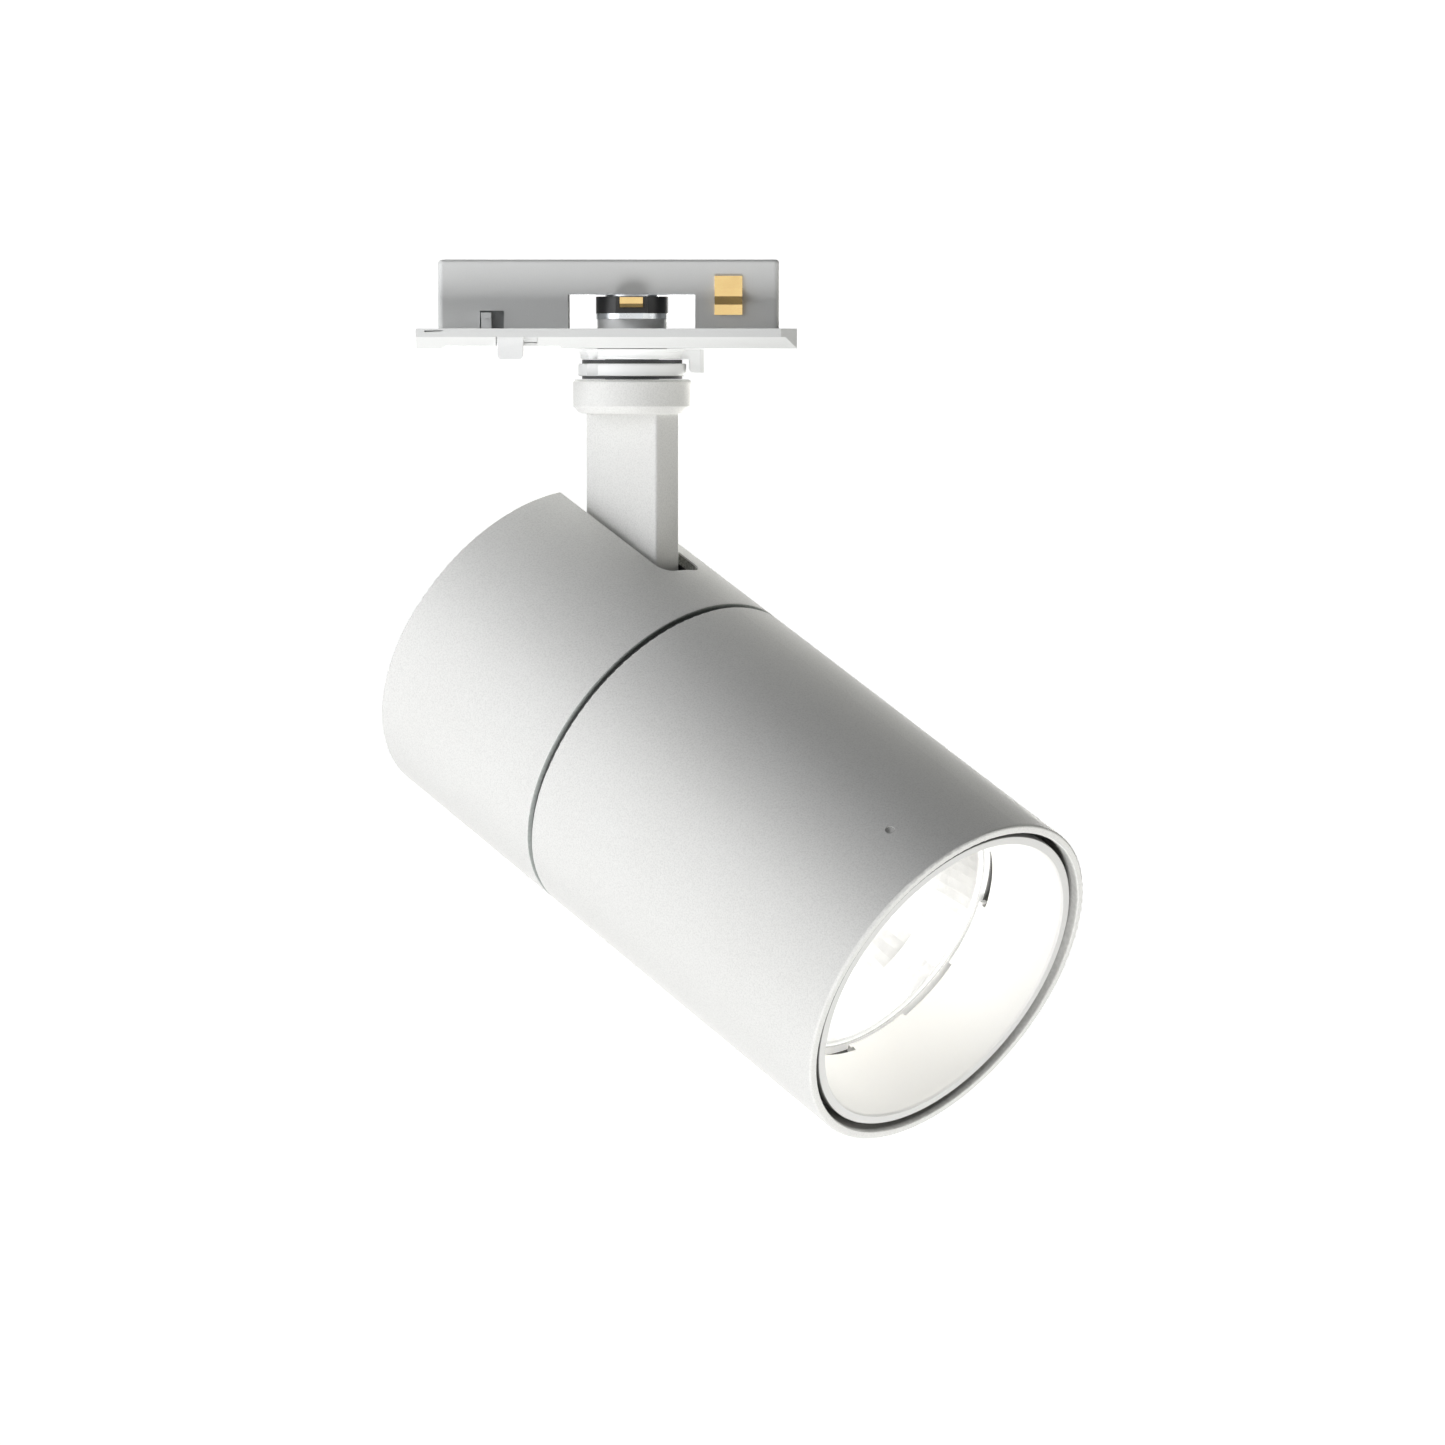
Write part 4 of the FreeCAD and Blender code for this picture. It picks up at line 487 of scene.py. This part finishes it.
# ---- light source: a domed fill of phosphor inside its dam -------------------------------------
dome = [(46.2, 0.0), (46.2, 6.1)] + [(46.32 + 0.36 * math.cos(math.pi / 2 * k / 10) ** 0.8, 6.1 * math.sin(math.pi / 2 * k / 10))
                                     for k in range(10, -1, -1)]
dome[-1] = (dome[-1][0], 0.0)
emitter = piece("emitter_dome", lathe(dome, 96), MATS["chip_phosphor"], "head", 50.0)
dam = [(46.2, 6.12), (46.2, 6.8)] + [(46.36 + 0.34 * math.sin(math.pi * k / 10), 6.46 + 0.34 * math.cos(math.pi * k / 10))
                                      for k in range(0, 11)]
dam_ring = piece("emitter_dam", lathe(dam, 96), MATS["chip_ceramic"], "head", 50.0)
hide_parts("cob_emitter")
# soft seal between the reflector's rim and the ring
seal = [(81.0, 29.32), (81.0, 29.72)] + [(81.0 + 0.26 * math.sin(math.pi * k / 8), 29.52 + 0.2 * math.cos(math.pi * k / 8)) for k in range(1, 8)]
seal_ring = piece("rim_seal", lathe(seal, 180), plastic("pale_silicone", (0.70, 0.70, 0.69), 0.45, 0.003, 0.2), "head", 60.0)


def shade_pads():
    """Three curved dark pads on the ring's face, one behind each bayonet window, with rounded edges: painted shade for
    the ring's face under the cone.
    """
    bm = bmesh.new()
    section = [(81.0, 31.6), (81.0, 34.0), (81.18, 33.98), (81.27, 33.92), (81.3, 33.82), (81.3, 31.77), (81.27, 31.68), (81.18, 31.62)]
    for mid in (-64.75, 55.25, 175.25):
        rows = []
        for k in range(37):
            a = math.radians(mid - 17.0 + 34.0 * k / 36)
            rows.append([bm.verts.new(HEAD @ Vector((x * MM, -r * MM * math.sin(a), r * MM * math.cos(a)))) for x, r in section])
        n = len(section)
        for a, b in zip(rows, rows[1:]):
            for k in range(n):
                j = (k + 1) % n
                bm.faces.new((a[k], b[k], b[j], a[j]))
        bm.faces.new(rows[0])
        bm.faces.new(rows[-1][::-1])
    return bm


# painted shade: dark grey pads, seen through the windows as dark slits where the ring's face lies in shade
pads = piece("window_shade_pads", shade_pads(), plastic("dark_shade_pad", (0.18, 0.18, 0.175), 0.8, 0.03, 0.5, 0.2), "head", 40.0)

# ---- studio ---------------------------------------------------------------------------------
scene.view_settings.view_transform = "Standard"
scene.view_settings.look = "None"
scene.view_settings.exposure = 0.0
scene.view_settings.gamma = 1.0

cam = bpy.data.cameras.new("camera")
cam.sensor_width = 36.0
cam.lens = 147.42
cam.clip_start, cam.clip_end = 0.05, 60.0
cam_o = bpy.data.objects.new("camera", cam)
scene.collection.objects.link(cam_o)
cam_o.location = (0.019715, -1.29393, -0.00809)
cam_o.rotation_euler = (math.radians(86.553), 0, 0)
scene.camera = cam_o

world = bpy.data.worlds.new("studio")
scene.world = world
world.use_nodes = True
bg = world.node_tree.nodes["Background"]
bg.inputs["Color"].default_value = (1.0, 1.0, 1.0, 1)
bg.inputs["Strength"].default_value = 0.004

MIDDLE = Vector((0.02, -0.02, -0.09))


def softbox(name, az, el, dist, size, level, color=(1, 1, 1)):
    """Square area light on a sphere round the object. level is about the tone a white surface that faces it takes."""
    a, e = math.radians(az), math.radians(el)
    d = Vector((math.cos(e) * math.cos(a), math.cos(e) * math.sin(a), math.sin(e)))
    light = bpy.data.lights.new(name, "AREA")
    light.shape = "SQUARE"
    light.size = size
    light.color = color
    light.energy = level * math.pi ** 2 * dist ** 2 / 0.8
    o = bpy.data.objects.new(name, light)
    scene.collection.objects.link(o)
    o.location = MIDDLE + d * dist
    o.rotation_euler = (-d).to_track_quat("-Z", "Y").to_euler()
    o.visible_camera = False
    return o


COOL, WARM = (0.972, 0.98, 1.0), (1.0, 0.994, 0.94)
RIG = [
    ("side_left", 190, 20, 0.45, 0.34, 0.297, COOL),
    ("key_left", 215, 20, 0.45, 0.34, 0.262, COOL),
    ("low_near", 265, -45, 0.45, 0.34, 0.078),
    ("low_front", 260, -50, 1.4, 0.9, 0.820),
    ("right_wide", 350, -15, 1.4, 0.9, 0.278, WARM),
    ("back_right", 60, -10, 1.2, 0.8, 0.485, WARM),
    ("back_low", 90, -10, 1.2, 0.8, 0.160, WARM),
    ("back_high", 90, 35, 1.2, 0.8, 0.158, WARM),
    ("back_left_high", 120, 35, 1.2, 0.8, 0.400, WARM),
]
for row in RIG:
    softbox(*row)

# light that the lit mouth throws back on its own lower side; it turns with the head
glow = bpy.data.lights.new("mouth_glow", "AREA")
glow.shape, glow.size, glow.spread, glow.energy = "DISK", 0.02, 2.2, 0.0047
glow_o = bpy.data.objects.new("mouth_glow", glow)
scene.collection.objects.link(glow_o)
start, aim = HEAD @ Vector((0.1035, 0.022, 0.018)), HEAD @ Vector((0.090, -0.012, -0.032))
glow_o.location = start
glow_o.rotation_euler = (aim - start).to_track_quat("-Z", "Y").to_euler()
glow_o.visible_camera = False
glow_o.parent = emitter

# floor and backdrop: one pale sweep all round, seen but giving no light of its own to the object
prof = [(0.0, -1.6), (2.0, -1.6)]
prof += [(2.0 + 0.9 * math.sin(math.pi / 2 * k / 12), -1.6 + 0.9 * (1 - math.cos(math.pi / 2 * k / 12))) for k in range(1, 13)]
prof += [(2.9, 1.4)] + [(2.9 * math.cos(math.pi / 2 * k / 12), 1.4 + 1.6 * math.sin(math.pi / 2 * k / 12)) for k in range(1, 12)] + [(0.0, 3.0)]
bm = bmesh.new()
rings = []
for r, z in prof:
    rings.append([bm.verts.new((0, 0, z))] if r == 0 else
                 [bm.verts.new((r * math.cos(2 * math.pi * k / 96), r * math.sin(2 * math.pi * k / 96), z)) for k in range(96)])
for a, b in zip(rings, rings[1:]):
    for k in range(96):
        j = (k + 1) % 96
        if len(a) == 1:
            bm.faces.new((a[0], b[k], b[j]))
        elif len(b) == 1:
            bm.faces.new((a[k], b[0], a[j]))
        else:
            bm.faces.new((a[k], b[k], b[j], a[j]))
me = bpy.data.meshes.new("studio_sweep")
bm.to_mesh(me)
bm.free()
for p in me.polygons:
    p.use_smooth = True
sweep = bpy.data.objects.new("studio_sweep", me)
scene.collection.objects.link(sweep)
t = Mat("sweep_paper", Base_Color=(0.9, 0.9, 0.9, 1), Roughness=0.9, Emission_Strength=0.92)
t.b.inputs["Emission Color"].default_value = (1, 1, 1, 1)
paper = t.noise(900.0, 2.0, 0.6)
t.color(t.ramp(paper, [(0.3, (0.89, 0.89, 0.89)), (0.7, (0.91, 0.91, 0.91))]))
me.materials.append(t.m)
sweep.visible_diffuse = False
sweep.visible_shadow = False
sweep.visible_transmission = False
